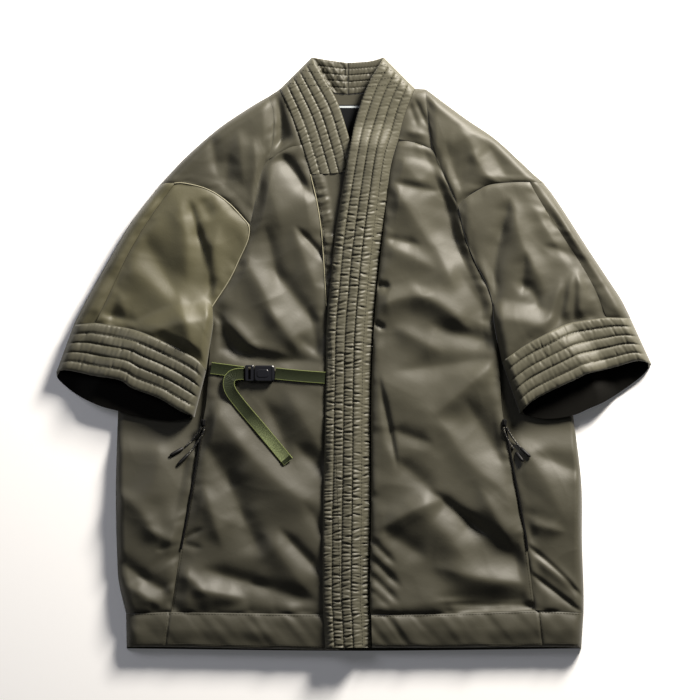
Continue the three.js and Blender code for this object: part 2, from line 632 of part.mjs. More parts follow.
// The height that clears the meshes all round a point.
function clearOf(meshes, p, reach) {
  const offsets = [-1, -0.5, 0, 0.5, 1].map((k) => k * reach);
  const heights = offsets.flatMap((x) => offsets.map((y) => topOf(meshes, { x: p.x + x, y: p.y + y })));
  return Math.max(...heights) + LAND;
}

// A flat strip along a line, lying on the given meshes.
function ribbon(name, points, { width, thick }, meshes, material, steps) {
  const path = new THREE.CatmullRomCurve3(points.map((p) => new THREE.Vector3(p.x, p.y, 0)));
  const stations = Array.from({ length: steps + 1 }, (_, i) => {
    const p = path.getPointAt(i / steps);
    const along = path.getTangentAt(i / steps);
    const side = { x: (-along.y * width) / 2, y: (along.x * width) / 2 };
    return { p, side, z: clearOf(meshes, p, RIBBON_CLEAR * width) };
  });
  const level = stations.map(({ z }, i) =>
    Math.max(z, stations[Math.max(0, i - 1)].z, stations[Math.min(steps, i + 1)].z));
  const face = (rise) => stations.map(({ p, side }, i) =>
    [1, -1].map((k) => ({ x: p.x + k * side.x, y: p.y + k * side.y, z: level[i] + rise })));
  return add(name, wall(face(thick), face(0)), material);
}

// A plate with rounded corners, cut through by a slot where slot gives one, from z upwards.
function plate(name, { x, y, width, depth, high, corner, slot }, z, material) {
  const outline = (w, d, r, hole) => {
    const shape = new hole.constructor();
    shape.moveTo(-w / 2 + r, -d / 2).lineTo(w / 2 - r, -d / 2);
    shape.absarc(w / 2 - r, -d / 2 + r, r, -Math.PI / 2, 0).lineTo(w / 2, d / 2 - r);
    shape.absarc(w / 2 - r, d / 2 - r, r, 0, Math.PI / 2).lineTo(-w / 2 + r, d / 2);
    shape.absarc(-w / 2 + r, d / 2 - r, r, Math.PI / 2, Math.PI).lineTo(-w / 2, -d / 2 + r);
    shape.absarc(-w / 2 + r, -d / 2 + r, r, Math.PI, 1.5 * Math.PI);
    return shape;
  };
  const shape = outline(width, depth, corner, new THREE.Shape());
  if (slot) shape.holes.push(outline(slot.width, slot.depth, slot.corner, new THREE.Path()));
  const geometry = new THREE.ExtrudeGeometry(shape, { depth: high, bevelEnabled: false, curveSegments: 4 });
  const mesh = add(name, geometry, material);
  mesh.position.set(x, y, z);
  return mesh;
}

// The neck label, bare, on the inside of the back.
const labelTop = { x: -5.5, y: 297.5, width: 51, depth: 43, high: 0.8, corner: 1 };
plate("label", labelTop, WALL + LAND, LABEL);

// The side strap, its buckle and its hanging tail, and the short strap from under the band.
const BUCKLE_HIGH = 8;
const buckleMale = { x: -133.8, y: -24.5, width: 11.4, depth: 20.5, high: BUCKLE_HIGH - 1.5, corner: 2,
  slot: { width: 3, depth: 16, corner: 0.8 } };
const buckleFemale = { x: -114.8, y: -24.8, width: 26, depth: 20.5, high: BUCKLE_HIGH, corner: 3.5 };
const UNDER_BUCKLE = [-139, -127, -115, -103].map((x) => ({ x, y: -24.6 }));
const buckleRest = Math.max(...UNDER_BUCKLE.map((p) => clearOf([frontRight], p, 0.54 * buckleFemale.depth)));
plate("buckle_male", buckleMale, buckleRest, BUCKLE);
plate("buckle_female", buckleFemale, buckleRest, BUCKLE);
const sideWay = line([-183, -18], [-160, -21], [-141.4, -23.6]);
const bandWay = line([-100.6, -25], [-70, -28], [-37, -30.5]);
const tailWay = line([-141.2, -25.5], [-151, -26], [-159, -31], [-159, -45], [-145, -65], [-118, -97],
  [-84, -138]);
const strapSide = ribbon("strap_side", sideWay, WEBBING, [frontRight], WEB, 6);
ribbon("strap_band", bandWay, WEBBING, [frontRight, stripRight], WEB, 7);
ribbon("strap_tail", tailWay, WEBBING, [frontRight, strapSide], WEB, 22);

// The pocket zips, their sliders, and the two legs of the pull cord with their moulded ends.
const SLIDER = { width: 6, depth: 9, high: 4, corner: 1.5 };
const PULLS = [
  {
    side: "right", panels: [sideRight, frontRight], zip: line([-193.5, -88], [-210, -187], [-221.5, -250]),
    slider: { x: -193, y: -88 },
    legs: {
      a: line([-195, -93.5], [-198, -99], [-203, -106], [-212, -115], [-218, -120], [-236, -130]),
      b: line([-191.5, -94], [-193, -101], [-199, -111], [-206, -121], [-212, -128], [-226, -142]),
    },
  },
  {
    side: "left", panels: [sideLeft, frontLeft], zip: line([193, -90], [204, -148], [219, -229], [222, -250]),
    slider: { x: 192.5, y: -88 },
    legs: {
      a: line([195, -93.5], [199, -101], [203, -107], [209, -115], [213, -120], [226, -132]),
      b: line([191.5, -94], [194, -104], [200, -115], [204, -121], [207, -125], [217, -138]),
    },
  },
];

function tube(name, points, radius, steps, material) {
  const { sides } = CORD;
  const section = new THREE.Shape(Array.from({ length: sides }, (_, i) => {
    const turn = (2 * Math.PI * i) / sides;
    return new THREE.Vector2(radius * Math.cos(turn), radius * Math.sin(turn));
  }));
  const path = new THREE.CatmullRomCurve3(points);
  return add(name, new THREE.ExtrudeGeometry(section, { steps, extrudePath: path }), material);
}

for (const { side, panels, zip, slider, legs } of PULLS) {
  const zipMesh = ribbon(`zip_${side}`, zip, ZIP, panels, ZIPPER, 14);
  const under = [...panels, zipMesh];
  plate(`zip_slider_${side}`, { ...slider, ...SLIDER }, clearOf(under, slider, 0.6 * SLIDER.depth), ZIPPER);
  for (const [leg, points] of Object.entries(legs)) {
    const [start, tip] = points.slice(-2);
    const joint = between(start, tip, CORD_JOINT / apart(start, tip));
    const ends = [joint, between(joint, tip, 0.5), tip];
    const level = Math.max(...ends.map((p) => clearOf(under, p, CORD_REACH))) + CORD.endRadius;
    const lying = (p, i, all) => new THREE.Vector3(p.x, p.y,
      i < all.length - 2 ? clearOf(under, p, CORD_REACH) + CORD.radius : level);
    tube(`pull_cord_${side}_${leg}`, points.slice(0, -1).map(lying), CORD.radius, 14, CORD_BLACK);
    const laid = ends.map((p) => new THREE.Vector3(p.x, p.y, level));
    tube(`cord_end_${side}_${leg}`, laid, CORD.endRadius, 3, CORD_BLACK);
  }
}

export default robe;
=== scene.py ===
# A padded wrap-front robe laid flat on a pale floor, seen from straight above.
# Every size below is in millimetres until a mesh is made; x runs to the wearer's left,
# y from the hem to the neck, and z up from the floor.
import json
import math

import bpy
import numpy as np
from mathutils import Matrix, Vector
from mathutils.bvhtree import BVHTree

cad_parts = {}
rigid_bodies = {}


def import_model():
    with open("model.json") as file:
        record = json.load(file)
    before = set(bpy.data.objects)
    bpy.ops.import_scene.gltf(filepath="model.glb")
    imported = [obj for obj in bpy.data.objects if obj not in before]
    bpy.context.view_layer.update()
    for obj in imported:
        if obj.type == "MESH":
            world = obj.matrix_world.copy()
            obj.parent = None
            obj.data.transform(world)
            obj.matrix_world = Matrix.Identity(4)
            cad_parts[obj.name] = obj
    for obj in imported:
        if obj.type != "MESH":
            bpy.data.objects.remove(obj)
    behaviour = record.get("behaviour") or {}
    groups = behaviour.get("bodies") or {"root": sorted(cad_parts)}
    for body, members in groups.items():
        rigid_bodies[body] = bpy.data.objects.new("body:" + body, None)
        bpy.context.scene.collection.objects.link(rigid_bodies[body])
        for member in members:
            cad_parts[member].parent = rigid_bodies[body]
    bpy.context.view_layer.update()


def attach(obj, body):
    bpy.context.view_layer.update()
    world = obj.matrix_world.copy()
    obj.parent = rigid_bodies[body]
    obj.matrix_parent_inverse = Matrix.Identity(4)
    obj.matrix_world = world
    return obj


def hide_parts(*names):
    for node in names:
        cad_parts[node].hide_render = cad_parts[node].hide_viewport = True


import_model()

MM = 0.001

# Camera, floor and lights
# The robe is photographed from straight above on a white sweep that glows faintly, with a low
# soft light from the top right, a higher and weaker one from the left and a dim room round it.
PIXEL = 1.28  # mm of floor that one pixel of the 700 px picture covers
PICTURE = 700
CENTRE = (-4 * PIXEL, 4 * PIXEL)


def linear(code):
    """An sRGB hex colour as linear red, green, blue and 1."""
    parts = [int(code[i:i + 2], 16) / 255 for i in (1, 3, 5)]
    return [c / 12.92 if c <= 0.04045 else ((c + 0.055) / 1.055) ** 2.4 for c in parts] + [1.0]


def node(tree, kind, inputs=(), **settings):
    """Adds a node, gives it its settings, and sets or links its inputs."""
    made = tree.nodes.new(kind)
    for name, value in settings.items():
        setattr(made, name, value)
    for name, value in dict(inputs).items():
        if isinstance(value, bpy.types.NodeSocket):
            tree.links.new(value, made.inputs[name])
        else:
            made.inputs[name].default_value = value
    return made


def mixed(tree, factor, first, second):
    """The colour between two, each a hex code or a socket, at a factor."""
    first, second = (linear(c) if isinstance(c, str) else c for c in (first, second))
    return node(tree, "ShaderNodeMix", {"Factor": factor, 6: first, 7: second}, data_type="RGBA").outputs[2]


def material(name, colour=None, **values):
    """A node material, its tree and its Principled shader. values are sockets of the shader that
    are the same all over, with _ for a space."""
    made = bpy.data.materials.new(name)
    made.use_nodes = True
    shader = made.node_tree.nodes["Principled BSDF"]
    if colour:
        values["Base_Color"] = linear(colour)
    for socket, value in values.items():
        shader.inputs[socket.replace("_", " ")].default_value = value
    return made, made.node_tree, shader


def placed(name, data):
    """A new object in the scene."""
    made = bpy.data.objects.new(name, data)
    bpy.context.scene.collection.objects.link(made)
    return made


camera = placed("camera", bpy.data.cameras.new("camera"))
camera.data.type = "ORTHO"
camera.data.ortho_scale = PIXEL * PICTURE * MM
camera.data.clip_end = 20
camera.location = (CENTRE[0] * MM, CENTRE[1] * MM, 3)
bpy.context.scene.camera = camera

FLOOR_HALF = 4000
floor_mesh = bpy.data.meshes.new("floor")
corners = [(sx * FLOOR_HALF * MM, sy * FLOOR_HALF * MM, -0.0004) for sx, sy in ((-1, -1), (1, -1), (1, 1), (-1, 1))]
floor_mesh.from_pydata(corners, [], [(0, 1, 2, 3)])
floor = placed("floor", floor_mesh)
floor_paint, tree, shader = material("floor_paper", Roughness=0.9, Emission_Strength=0.07,
                                     Emission_Color=linear("#f4f6fa"))
grain = node(tree, "ShaderNodeTexNoise", {"Scale": 900.0, "Detail": 2.0})
tint = node(tree, "ShaderNodeMapRange", {"Value": grain.outputs["Fac"], "To Min": 0.95, "To Max": 0.97})
tree.links.new(tint.outputs["Result"], shader.inputs["Base Color"])
floor_mesh.materials.append(floor_paint)

LIGHTS = [
    # name, place (m), size (m), watts, colour
    ("key", (0.9, 1.4, 0.8), 0.5, 118.0, "#fff8ee"),
    ("left", (-1.5, 0.9, 1.7), 1.0, 9.0, "#f4f4ff"),
]
for name, place, size, watts, colour in LIGHTS:
    lamp = bpy.data.lights.new(name, "AREA")
    lamp.size = size
    lamp.energy = watts
    lamp.color = linear(colour)[:3]
    holder = placed(name, lamp)
    holder.location = place
    holder.rotation_euler = (-Vector(place)).to_track_quat("-Z", "Y").to_euler()
world = bpy.data.worlds.new("room")
world.use_nodes = True
world.node_tree.nodes["Background"].inputs["Color"].default_value = linear("#f2f4f8")
world.node_tree.nodes["Background"].inputs["Strength"].default_value = 0.05
bpy.context.scene.world = world
bpy.context.scene.view_settings.view_transform = "Standard"

# Cloth: shared sizes and the seams
# The robe is olive nylon over a thin padding, cut in panels and sewn edge to edge. Each seam is
# a short table of places, and the two panels on either side of it are made from the same line.
WALL = 5.0  # the padded cloth
HALF_GAP = 0.15  # between two panels at a seam
FRONT_IN = 12.0  # height of the inner face of the fronts
SLEEVE_IN = 14.0  # the same of a sleeve, above what it lies on
ROLL = 14.0  # reach of an edge that turns down
LANDING = 5.3  # height where such an edge meets the back
PUFF = 3.6  # filling between seams
PINCH = 8.0  # reach of a seam's pinch in the filling
QUILT = 2.5  # height of a sewn channel
WIDER = 1.5  # factor on the widths of all folds
HIGHER = 1.85  # factor on their heights
CHANNELS = 5
CUFF_WALL = 4.5
CUFF_HIGH = 20.0
CELL = 2.3  # spacing of the points of a visible face
STEP = 4.0  # spacing of the points along a seam line


def line(*rows):
    """Rows of x, y as an array."""
    return np.array(rows, float)


def eased(points):
    """A Catmull-Rom curve through the rows, as points about STEP apart. Between rows b and c,
    with neighbours a and d, it is ((2b) + (c-a)t + (2a-5b+4c-d)t^2 + (3b-a-3c+d)t^3) / 2."""
    ends = np.vstack([2 * points[0] - points[1], points, 2 * points[-1] - points[-2]])
    out = []
    for a, b, c, d in zip(ends, ends[1:], ends[2:], ends[3:]):
        count = max(1, int(round(np.hypot(*(c - b)) / STEP)))
        t = np.linspace(0, 1, count, endpoint=False)[:, None]
        out.append((2 * b + (c - a) * t + (2 * a - 5 * b + 4 * c - d) * t ** 2
                    + (3 * b - a - 3 * c + d) * t ** 3) / 2)
    return np.vstack(out + [points[-1:]])


def chain(*lines):
    """Seams end to end as one line."""
    return np.vstack([part if i == 0 else part[1:] for i, part in enumerate(lines)])


RIGHT = {
    "raglan_top": line([-109, 330], [-103, 308], [-104, 274], [-108, 250]),
    "raglan_low": line([-108, 250], [-116, 238], [-124, 206], [-133, 165]),
    "armhole": line([-133, 165], [-135, 147], [-146, 122], [-159, 95], [-181, 61]),
    "underarm": line([-181, 61], [-180, 39], [-184, 12]),
    "sleeve_end": line([-184, 12], [-189, -21]),
    "pocket": line([-184, 12], [-189, -59], [-193, -84], [-210, -187], [-223, -257], [-234, -330]),
    "shoulder": line([-109, 330], [-133, 316], [-173, 289], [-213, 254], [-234, 232], [-246, 219]),
    "arc_out": line([-246, 219], [-229, 219]),
    "arc": line([-229, 219], [-216, 219], [-186, 211], [-159, 193], [-133, 165]),
    "sleeve_edge": line([-246, 219], [-267, 193], [-289, 163], [-313, 122], [-340, 74], [-359, 37]),
    "sleeve_seam": line([-229, 219], [-252, 187], [-274, 154], [-293, 120], [-308, 88], [-331, 40]),
    "cuff_out": line([-359, 37], [-331, 40]),
    "cuff_top": line([-331, 40], [-306, 36], [-281, 31], [-257, 22], [-230, 9], [-202, -6], [-189, -21]),
    "cuff_front": line([-381, -23], [-368, -21], [-334, -28], [-300, -34], [-284, -44], [-250, -57],
                       [-223, -73], [-204, -81]),
    "cuff_back": line([-381, -23], [-378, -33], [-355, -52], [-327, -66], [-302, -73], [-271, -81],
                      [-236, -85], [-204, -81]),
    "hidden": line([-184, 12], [-229, 3], [-274, -23], [-302, -59]),
    "side": line([-302, -59], [-302, -69], [-305, -175], [-303, -269], [-300, -298], [-292, -332]),
    "hem_side": line([-292, -332], [-291, -375]),
    "hem_seam_side": line([-292, -332], [-234, -330]),
    "hem_seam": line([-234, -330], [-44, -333], [-20, -333]),
    "hem_edge": line([-291, -375], [-239, -375], [-38, -379], [-20, -379]),
}
LEFT = {
    "raglan_top": line([92, 339], [95, 300], [100, 263]),
    "raglan_low": line([100, 263], [119, 220], [134, 187]),
    "armhole": line([134, 187], [142, 152], [154, 120], [172, 84], [178, 63]),
    "underarm": line([178, 63], [179, 41], [184, 13]),
    "sleeve_end": line([184, 13], [189, -10]),
    "pocket": line([184, 13], [187, -33], [191, -79], [204, -148], [219, -229], [225, -272], [232, -328]),
    "shoulder": line([92, 339], [142, 302], [180, 276], [212, 247], [230, 230], [242, 220]),
    "arc_out": line([242, 220], [225, 220]),
    "arc": line([225, 220], [206, 220], [175, 217], [159, 210], [142, 199], [134, 187]),
    "sleeve_edge": line([242, 220], [260, 196], [298, 137], [325, 96], [342, 70], [354, 46]),
    "sleeve_seam": line([225, 220], [244, 187], [268, 150], [290, 116], [308, 84], [323, 47]),
    "cuff_out": line([354, 46], [323, 47]),
    "cuff_top": line([323, 47], [293, 43], [270, 38], [244, 25], [217, 10], [189, -10]),
    "cuff_front": line([381, -13], [364, -9], [338, -16], [323, -20], [298, -26], [286, -32],
                       [234, -57], [212, -76]),
    "cuff_back": line([381, -13], [371, -26], [352, -41], [323, -60], [301, -70], [279, -79],
                      [244, -83], [212, -76]),
    "hidden": line([184, 13], [221, 5], [259, -23], [280, -59]),
    "side": line([280, -59], [280, -74], [291, -164], [292, -241], [294, -303], [294, -331]),
    "hem_side": line([294, -331], [291, -376]),
    "hem_seam_side": line([294, -331], [232, -328]),
    "hem_seam": line([232, -328], [123, -332], [22, -334]),
    "hem_edge": line([291, -376], [243, -375], [123, -376], [23, -376]),
}
COLLAR = {
    "seam_top": line([-95, 339], [-82, 310], [-69, 275], [-67, 268]),
    "seam_low": line([-67, 268], [-55, 230]),
    "right": line([-54, 380], [-37, 351], [-20, 320], [-5, 273], [4, 238]),
    "right_fold": line([-95, 339], [-54, 380]),
    "left": line([38, 380], [19, 348], [3, 304], [-6, 262], [-17, 201], [-25, 147], [-30, 93],
                 [-35, 39], [-36, -26], [-38, -123], [-40, -212], [-40, -315], [-37, -376]),
    "left_fold": line([38, 380], [78, 340]),
    "seam_yoke": line([78, 340], [65, 306], [57, 275]),
    "seam_front": line([57, 275], [47, 239], [41, 190], [36, 146], [28, 69], [24, 5], [22, -64],
                       [22, -188], [20, -315], [22, -334]),
    "seam_hem": line([22, -334], [23, -376]),
    "lapel_foot": line([-55, 230], [-19, 232], [4, 238]),
    "back_top_right": line([-54, 380], [-31, 376], [-8, 373]),
    "back_top_left": line([-8, 373], [20, 375], [38, 380]),
    "middle": line([-8, 373], [-8, 332]),
    "strip_seam": line([-55, 230], [-46, 191], [-40, 146], [-35, 69], [-31, -9], [-26, -123],
                       [-22, -251], [-20, -333]),
    "strip_hem": line([-20, -333], [-20, -379]),
    "yoke_right": line([-108, 250], [-84, 264], [-67, 268]),
    "yoke_left": line([57, 275], [77, 271], [100, 263]),
    "neck_right_yoke": line([-109, 330], [-95, 339]),
    "neck_right": line([-95, 339], [-8, 332]),
    "neck_left": line([-8, 332], [78, 340]),
    "neck_left_yoke": line([78, 340], [92, 339]),
}
RIGHT, LEFT, COLLAR = ({name: eased(rows) for name, rows in table.items()} for table in (RIGHT, LEFT, COLLAR))
HALVES = (("right", RIGHT), ("left", LEFT))


def along(points, f):
    """The point at fraction f of a line's length; f may be an array of any shape."""
    gaps = np.hypot(*np.diff(points, axis=0).T)
    marks = np.concatenate([[0], np.cumsum(gaps)]) / gaps.sum()
    return np.stack([np.interp(f, marks, points[:, k]) for k in (0, 1)], -1)


def length_of(points):
    """Length of a line."""
    return np.hypot(*np.diff(points, axis=0).T).sum()


def plan(sides, u, v):
    """The point at u across and v down a panel: the ruled surface between left and right, plus
    that between top and bottom, less the bilinear surface of the four corners."""
    u, v = u[..., None], v[..., None]
    left, right = along(sides["left"], v[..., 0]), along(sides["right"], v[..., 0])
    top, bottom = along(sides["top"], u[..., 0]), along(sides["bottom"], u[..., 0])
    corner = {(i, j): sides[s][k] for (i, j, s, k) in
              ((0, 0, "left", 0), (1, 0, "right", 0), (0, 1, "left", -1), (1, 1, "right", -1))}
    flat = ((1 - u) * (1 - v) * corner[0, 0] + u * (1 - v) * corner[1, 0]
            + (1 - u) * v * corner[0, 1] + u * v * corner[1, 1])
    return (1 - u) * left + u * right + (1 - v) * top + v * bottom - flat


class Sheet:
    """A panel's points on a grid: plan places x and y, shares u and v, and in mm the distances d
    from its four sides and s along them. gone moves each named side inwards by that many mm."""

    def __init__(self, sides, cell=CELL, gone=(), size=None):
        probe = np.linspace(0, 1, 41)
        across = np.hypot(*(along(sides["left"], probe) - along(sides["right"], probe)).T)
        down = np.hypot(*(along(sides["top"], probe) - along(sides["bottom"], probe)).T)
        self.flat = (across.max(), down.max())
        self.size = size or tuple(max(4, int(math.ceil(k / cell))) for k in self.flat)
        fu, fv = np.meshgrid(*(np.linspace(0, 1, count + 1) for count in self.size))
        gone = {**dict.fromkeys(("left", "right", "top", "bottom"), HALF_GAP), **dict(gone)}
        wide = np.interp(fv, probe, across)
        deep = np.interp(fu, probe, down)
        self.v = gone["top"] / deep + fv * (1 - (gone["top"] + gone["bottom"]) / deep)
        self.u = gone["left"] / wide + fu * (1 - (gone["left"] + gone["right"]) / wide)
        xy = plan(sides, self.u, self.v)
        self.x, self.y = xy[..., 0], xy[..., 1]
        self.d = {"left": self.u * wide, "right": (1 - self.u) * wide,
                  "top": self.v * deep, "bottom": (1 - self.v) * deep}
        self.s = {"left": self.v * deep, "right": self.v * deep, "top": self.u * wide, "bottom": self.u * wide}

    def at(self, z):
        """Its points at height z, [row, column, xyz]."""
        return np.stack([self.x, self.y, z + 0 * self.x], -1)


def smooth(f):
    """0 to 1 with flat ends: 3f^2 - 2f^3."""
    f = np.clip(f, 0, 1)
    return f * f * (3 - 2 * f)


def ripple(t, seed):
    """A smooth random curve between -1 and 1, with one random value at each whole t."""
    values = np.random.default_rng(seed).uniform(-1, 1, 512)
    i = np.floor(t).astype(int)
    k = smooth(t - i)
    return values[i % 512] * (1 - k) + values[(i + 1) % 512] * k


def drape(sheet, seed, scale):
    """Soft random relief: the mean of twelve plane waves of random heading, phase and length
    near scale, each bent by a slower wave."""
    rng = np.random.default_rng(seed)
    total = np.zeros_like(sheet.x)
    for heading, phase, stretch, bend in zip(rng.uniform(0, np.pi, 12), rng.uniform(0, 6.28, 12),
                                             rng.uniform(0.7, 1.6, 12), rng.uniform(0, 6.28, 12)):
        along_wave = sheet.x * math.cos(heading) + sheet.y * math.sin(heading)
        across = sheet.y * math.cos(heading) - sheet.x * math.sin(heading)
        total += np.sin(6.283 * along_wave / (scale * stretch) + phase + 1.3 * np.sin(across / scale / 0.6 + bend))
    return total / 5


def crease(sheet, seed, scale):
    """Random narrow ridges: one less the size of the soft relief, to the fourth power."""
    return (1 - np.clip(np.abs(drape(sheet, seed, scale)), 0, 1)) ** 4


def gathers(sheet, side, seed, spacing=8.0, reach=20.0, height=1.0):
    """Puckers that run in from a seam: a random curve along it, with a random reach."""
    s, d = sheet.s[side], sheet.d[side]
    lean = s + 0.35 * d * ripple(s / 31, seed + 1)
    far = reach * (0.75 + 0.6 * ripple(lean / (1.7 * spacing), seed + 2))
    return height * ripple(lean / spacing, seed) * np.exp(-(d / far) ** 2) * (1 - np.exp(-d / 2))


def fold(sheet, row):
    """One listed fold: height times a bell across a bent line, which is narrower on one side
    and draws to a point at both ends. Short folds are shallower. Columns: x0, y0, x1, y1, width on
    the left of its way, on the right, bend, height."""
    x0, y0, x1, y1, wide, other, bend, height = row
    span = math.hypot(x1 - x0, y1 - y0)
    ax, ay = (x1 - x0) / span, (y1 - y0) / span
    dx, dy = sheet.x - x0, sheet.y - y0
    t = (dx * ax + dy * ay) / span
    n = dx * -ay + dy * ax - bend * 4 * np.clip(t, 0, 1) * (1 - np.clip(t, 0, 1))
    end = smooth((t + 0.3) / 0.55) * smooth((1.3 - t) / 0.55)
    reach = np.where(n > 0, wide, other) * (WIDER * (0.45 + 0.55 * end))
    return HIGHER * height * min(1, 0.35 + span / 90) * np.exp(-(np.abs(n) / reach) ** 1.7) * end


def puffed(sheet, sides, height=PUFF, pinch=PINCH):
    """The filling between seams: height times one less exp(-distance / pinch) for each seam."""
    total = np.full_like(sheet.x, height)
    for side in sides:
        total *= 1 - np.exp(-sheet.d[side] / pinch)
    return total


def held(sheet, sides, reach=9.0):
    """0 at the seams and 1 away from them, for what the seams hold flat."""
    total = np.ones_like(sheet.x)
    for side in sides:
        total *= smooth(sheet.d[side] / reach)
    return total


def quarter(d, reach):
    """A quarter round: 0 at the edge, 1 at the reach."""
    return np.sqrt(np.clip(1 - (1 - np.clip(d / reach, 0, 1)) ** 2, 0, 1))


def fabric(name, outer, inner, ring=False, smooth_angle=50):
    """A closed wall between two grids of points of one size, [row, column, xyz] in mm: the outer
    face, the inner face and the strip round their edge. A ring joins its first and last column."""
    rows, cols = outer.shape[:2]
    points = np.concatenate([outer.reshape(-1, 3), inner.reshape(-1, 3)]) * MM
    ids = np.arange(rows * cols).reshape(rows, cols)
    if ring:
        ids = np.hstack([ids, ids[:, :1]])
    far = ids + rows * cols

    def quads(a, b, c, d):
        return np.stack([a, b, c, d], -1).reshape(-1, 4)

    faces = [quads(ids[:-1, :-1], ids[:-1, 1:], ids[1:, 1:], ids[1:, :-1]),
             quads(far[:-1, :-1], far[1:, :-1], far[1:, 1:], far[:-1, 1:]),
             quads(ids[0, :-1], far[0, :-1], far[0, 1:], ids[0, 1:]),
             quads(ids[-1, :-1], ids[-1, 1:], far[-1, 1:], far[-1, :-1])]
    if not ring:
        faces += [quads(ids[:-1, 0], ids[1:, 0], far[1:, 0], far[:-1, 0]),
                  quads(ids[:-1, -1], far[:-1, -1], far[1:, -1], ids[1:, -1])]
    faces = np.concatenate(faces)
    a, b, c, d = (points[faces[:, k]] for k in range(4))
    volume = np.einsum("ij,ij->", a, np.cross(b, c)) + np.einsum("ij,ij->", a, np.cross(c, d))
    if volume < 0:
        faces = faces[:, ::-1]
    mesh = bpy.data.meshes.new(name)
    mesh.vertices.add(len(points))
    mesh.vertices.foreach_set("co", points.ravel())
    mesh.loops.add(faces.size)
    mesh.loops.foreach_set("vertex_index", faces.ravel().astype(np.int32))
    mesh.polygons.add(len(faces))
    mesh.polygons.foreach_set("loop_start", np.arange(0, faces.size, 4, dtype=np.int32))
    mesh.update(calc_edges=True)
    mesh.shade_smooth()
    mesh.set_sharp_from_angle(angle=math.radians(smooth_angle))
    inside = np.zeros(len(faces), np.int32)
    inside[(rows - 1) * (ids.shape[1] - 1):2 * (rows - 1) * (ids.shape[1] - 1)] = 1
    mesh.polygons.foreach_set("material_index", inside)
    return placed(name, mesh)


def turned(sheet, side, z, gone=0, low=LANDING):
    """Height z, rolled down to low over the last ROLL mm before a side."""
    return low + (z - low) * quarter(sheet.d[side] - gone, ROLL - gone)


def declared(piece, node_name=None):
    """A piece that rides on the one body and, if named, takes the place of a solid, which is hidden."""
    if node_name:
        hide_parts(node_name)
    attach(piece, "root")
    return piece


def panel(name, outer, inner, sheets, rests_on, paint, ring=False):
    """One cloth piece in its solid's place, declared on the one body. rests_on is not used.
    A panel that turns over has two sheets, side by side; sheets is not used."""
    piece = fabric(f"{name}_cloth", outer, inner, ring)
    piece.data.materials.append(paint)
    # Inner faces take the near-black lining paint, which is partly painted shade.
    piece.data.materials.append(LINING_PAINTED_SHADE)
    declared(piece, name)


def lapped(name, sides, sheet, side, z, rests_on, paint, inside=lambda under: FRONT_IN, low=LANDING):
    """A panel that turns down to low at one side, with its inner face kept below its outer one."""
    under = Sheet(sides, gone={side: WALL}, size=sheet.size)
    outer = turned(sheet, side, z, 0, low)
    inner = np.minimum(turned(under, side, inside(under), WALL, low), outer - 0.5)
    panel(name, sheet.at(outer), under.at(inner), [sheet], rests_on, paint)


def nylon(name, base, shade, gloss=0.55, shine=0.42):
    """Padded nylon taffeta: a tight plain weave with a calendered face, so it has a broad satin
    gloss. Its threads, 0.15 mm apart, are too fine to show; the crinkle is 4 to 12 mm."""
    paint, tree, shader = material(name, Roughness=gloss, Specular_IOR_Level=shine, Sheen_Weight=0.28 * shine,
                                   Sheen_Roughness=0.45)
    place = node(tree, "ShaderNodeTexCoord")
    soft = node(tree, "ShaderNodeTexNoise", {"Vector": place.outputs["Object"], "Scale": 9.0, "Detail": 3.0})
    tree.links.new(mixed(tree, soft.outputs["Fac"], shade, base), shader.inputs["Base Color"])
    wide = node(tree, "ShaderNodeTexNoise", {"Vector": place.outputs["Object"], "Scale": 95.0, "Detail": 4.0,
                                             "Distortion": 0.6})
    weave = node(tree, "ShaderNodeTexNoise", {"Vector": place.outputs["Object"], "Scale": 900.0, "Detail": 2.0})
    first = node(tree, "ShaderNodeBump", {"Height": wide.outputs["Fac"], "Strength": 0.14, "Distance": 0.0011})
    second = node(tree, "ShaderNodeBump", {"Height": weave.outputs["Fac"], "Strength": 0.16, "Distance": 0.0004,
                                           "Normal": first.outputs["Normal"]})
    tree.links.new(second.outputs["Normal"], shader.inputs["Normal"])
    return paint


OLIVE = nylon("nylon_taffeta_olive", "#413f32", "#37352a")
QUILTED = nylon("nylon_taffeta_quilted", "#4d4b3c", "#434135", 0.56)
# A lighter, yellower copy of the olive nylon for the right sleeve: painted sheen for the light its weave catches.
PAINTED_SHEEN_OLIVE = nylon("nylon_taffeta_moss", "#4f4c36", "#44412f")
# A darker copy of the olive nylon for the back, which shows only in the recess of the neck: painted shade.
SHADE = nylon("nylon_taffeta_inside", "#3a382c", "#323026")
# The inner faces: a dark lining, darkened further to near black as painted shade in the open cuffs, sleeves and
# hems.
LINING_PAINTED_SHADE = nylon("nylon_lining", "#0b0a07", "#090806", 0.7, 0.08)

# Lower layer
# The back, its hem band and the shoulder backs lie flat on the floor, face down. Only the inside
# of the neck shows, above the label.
HEM_BACK_TOP = eased(line([-292, -332], [0, -334], [294, -331]))
HEM_BACK_EDGE = eased(line([-291, -377], [0, -380], [291, -377]))
BODY_SIDE = {
    name: chain(*(body[k] for k in ("raglan_top", "raglan_low", "armhole", "underarm", "hidden", "side")))
    for name, body in HALVES
}
NECK = chain(COLLAR["neck_right_yoke"], COLLAR["neck_right"], COLLAR["neck_left"], COLLAR["neck_left_yoke"])
LOWER = [
    ("back", dict(left=BODY_SIDE["right"], right=BODY_SIDE["left"], top=NECK, bottom=HEM_BACK_TOP)),
    ("hem_back", dict(left=line([-292, -332], [-291, -377]), right=line([294, -331], [291, -377]),
                      top=HEM_BACK_TOP, bottom=HEM_BACK_EDGE)),
]
for name, body in HALVES:
    LOWER.append((f"shoulder_back_{name}", dict(left=body["shoulder"], right=body["raglan_low"],
                                                top=body["raglan_top"], bottom=chain(body["arc_out"], body["arc"]))))
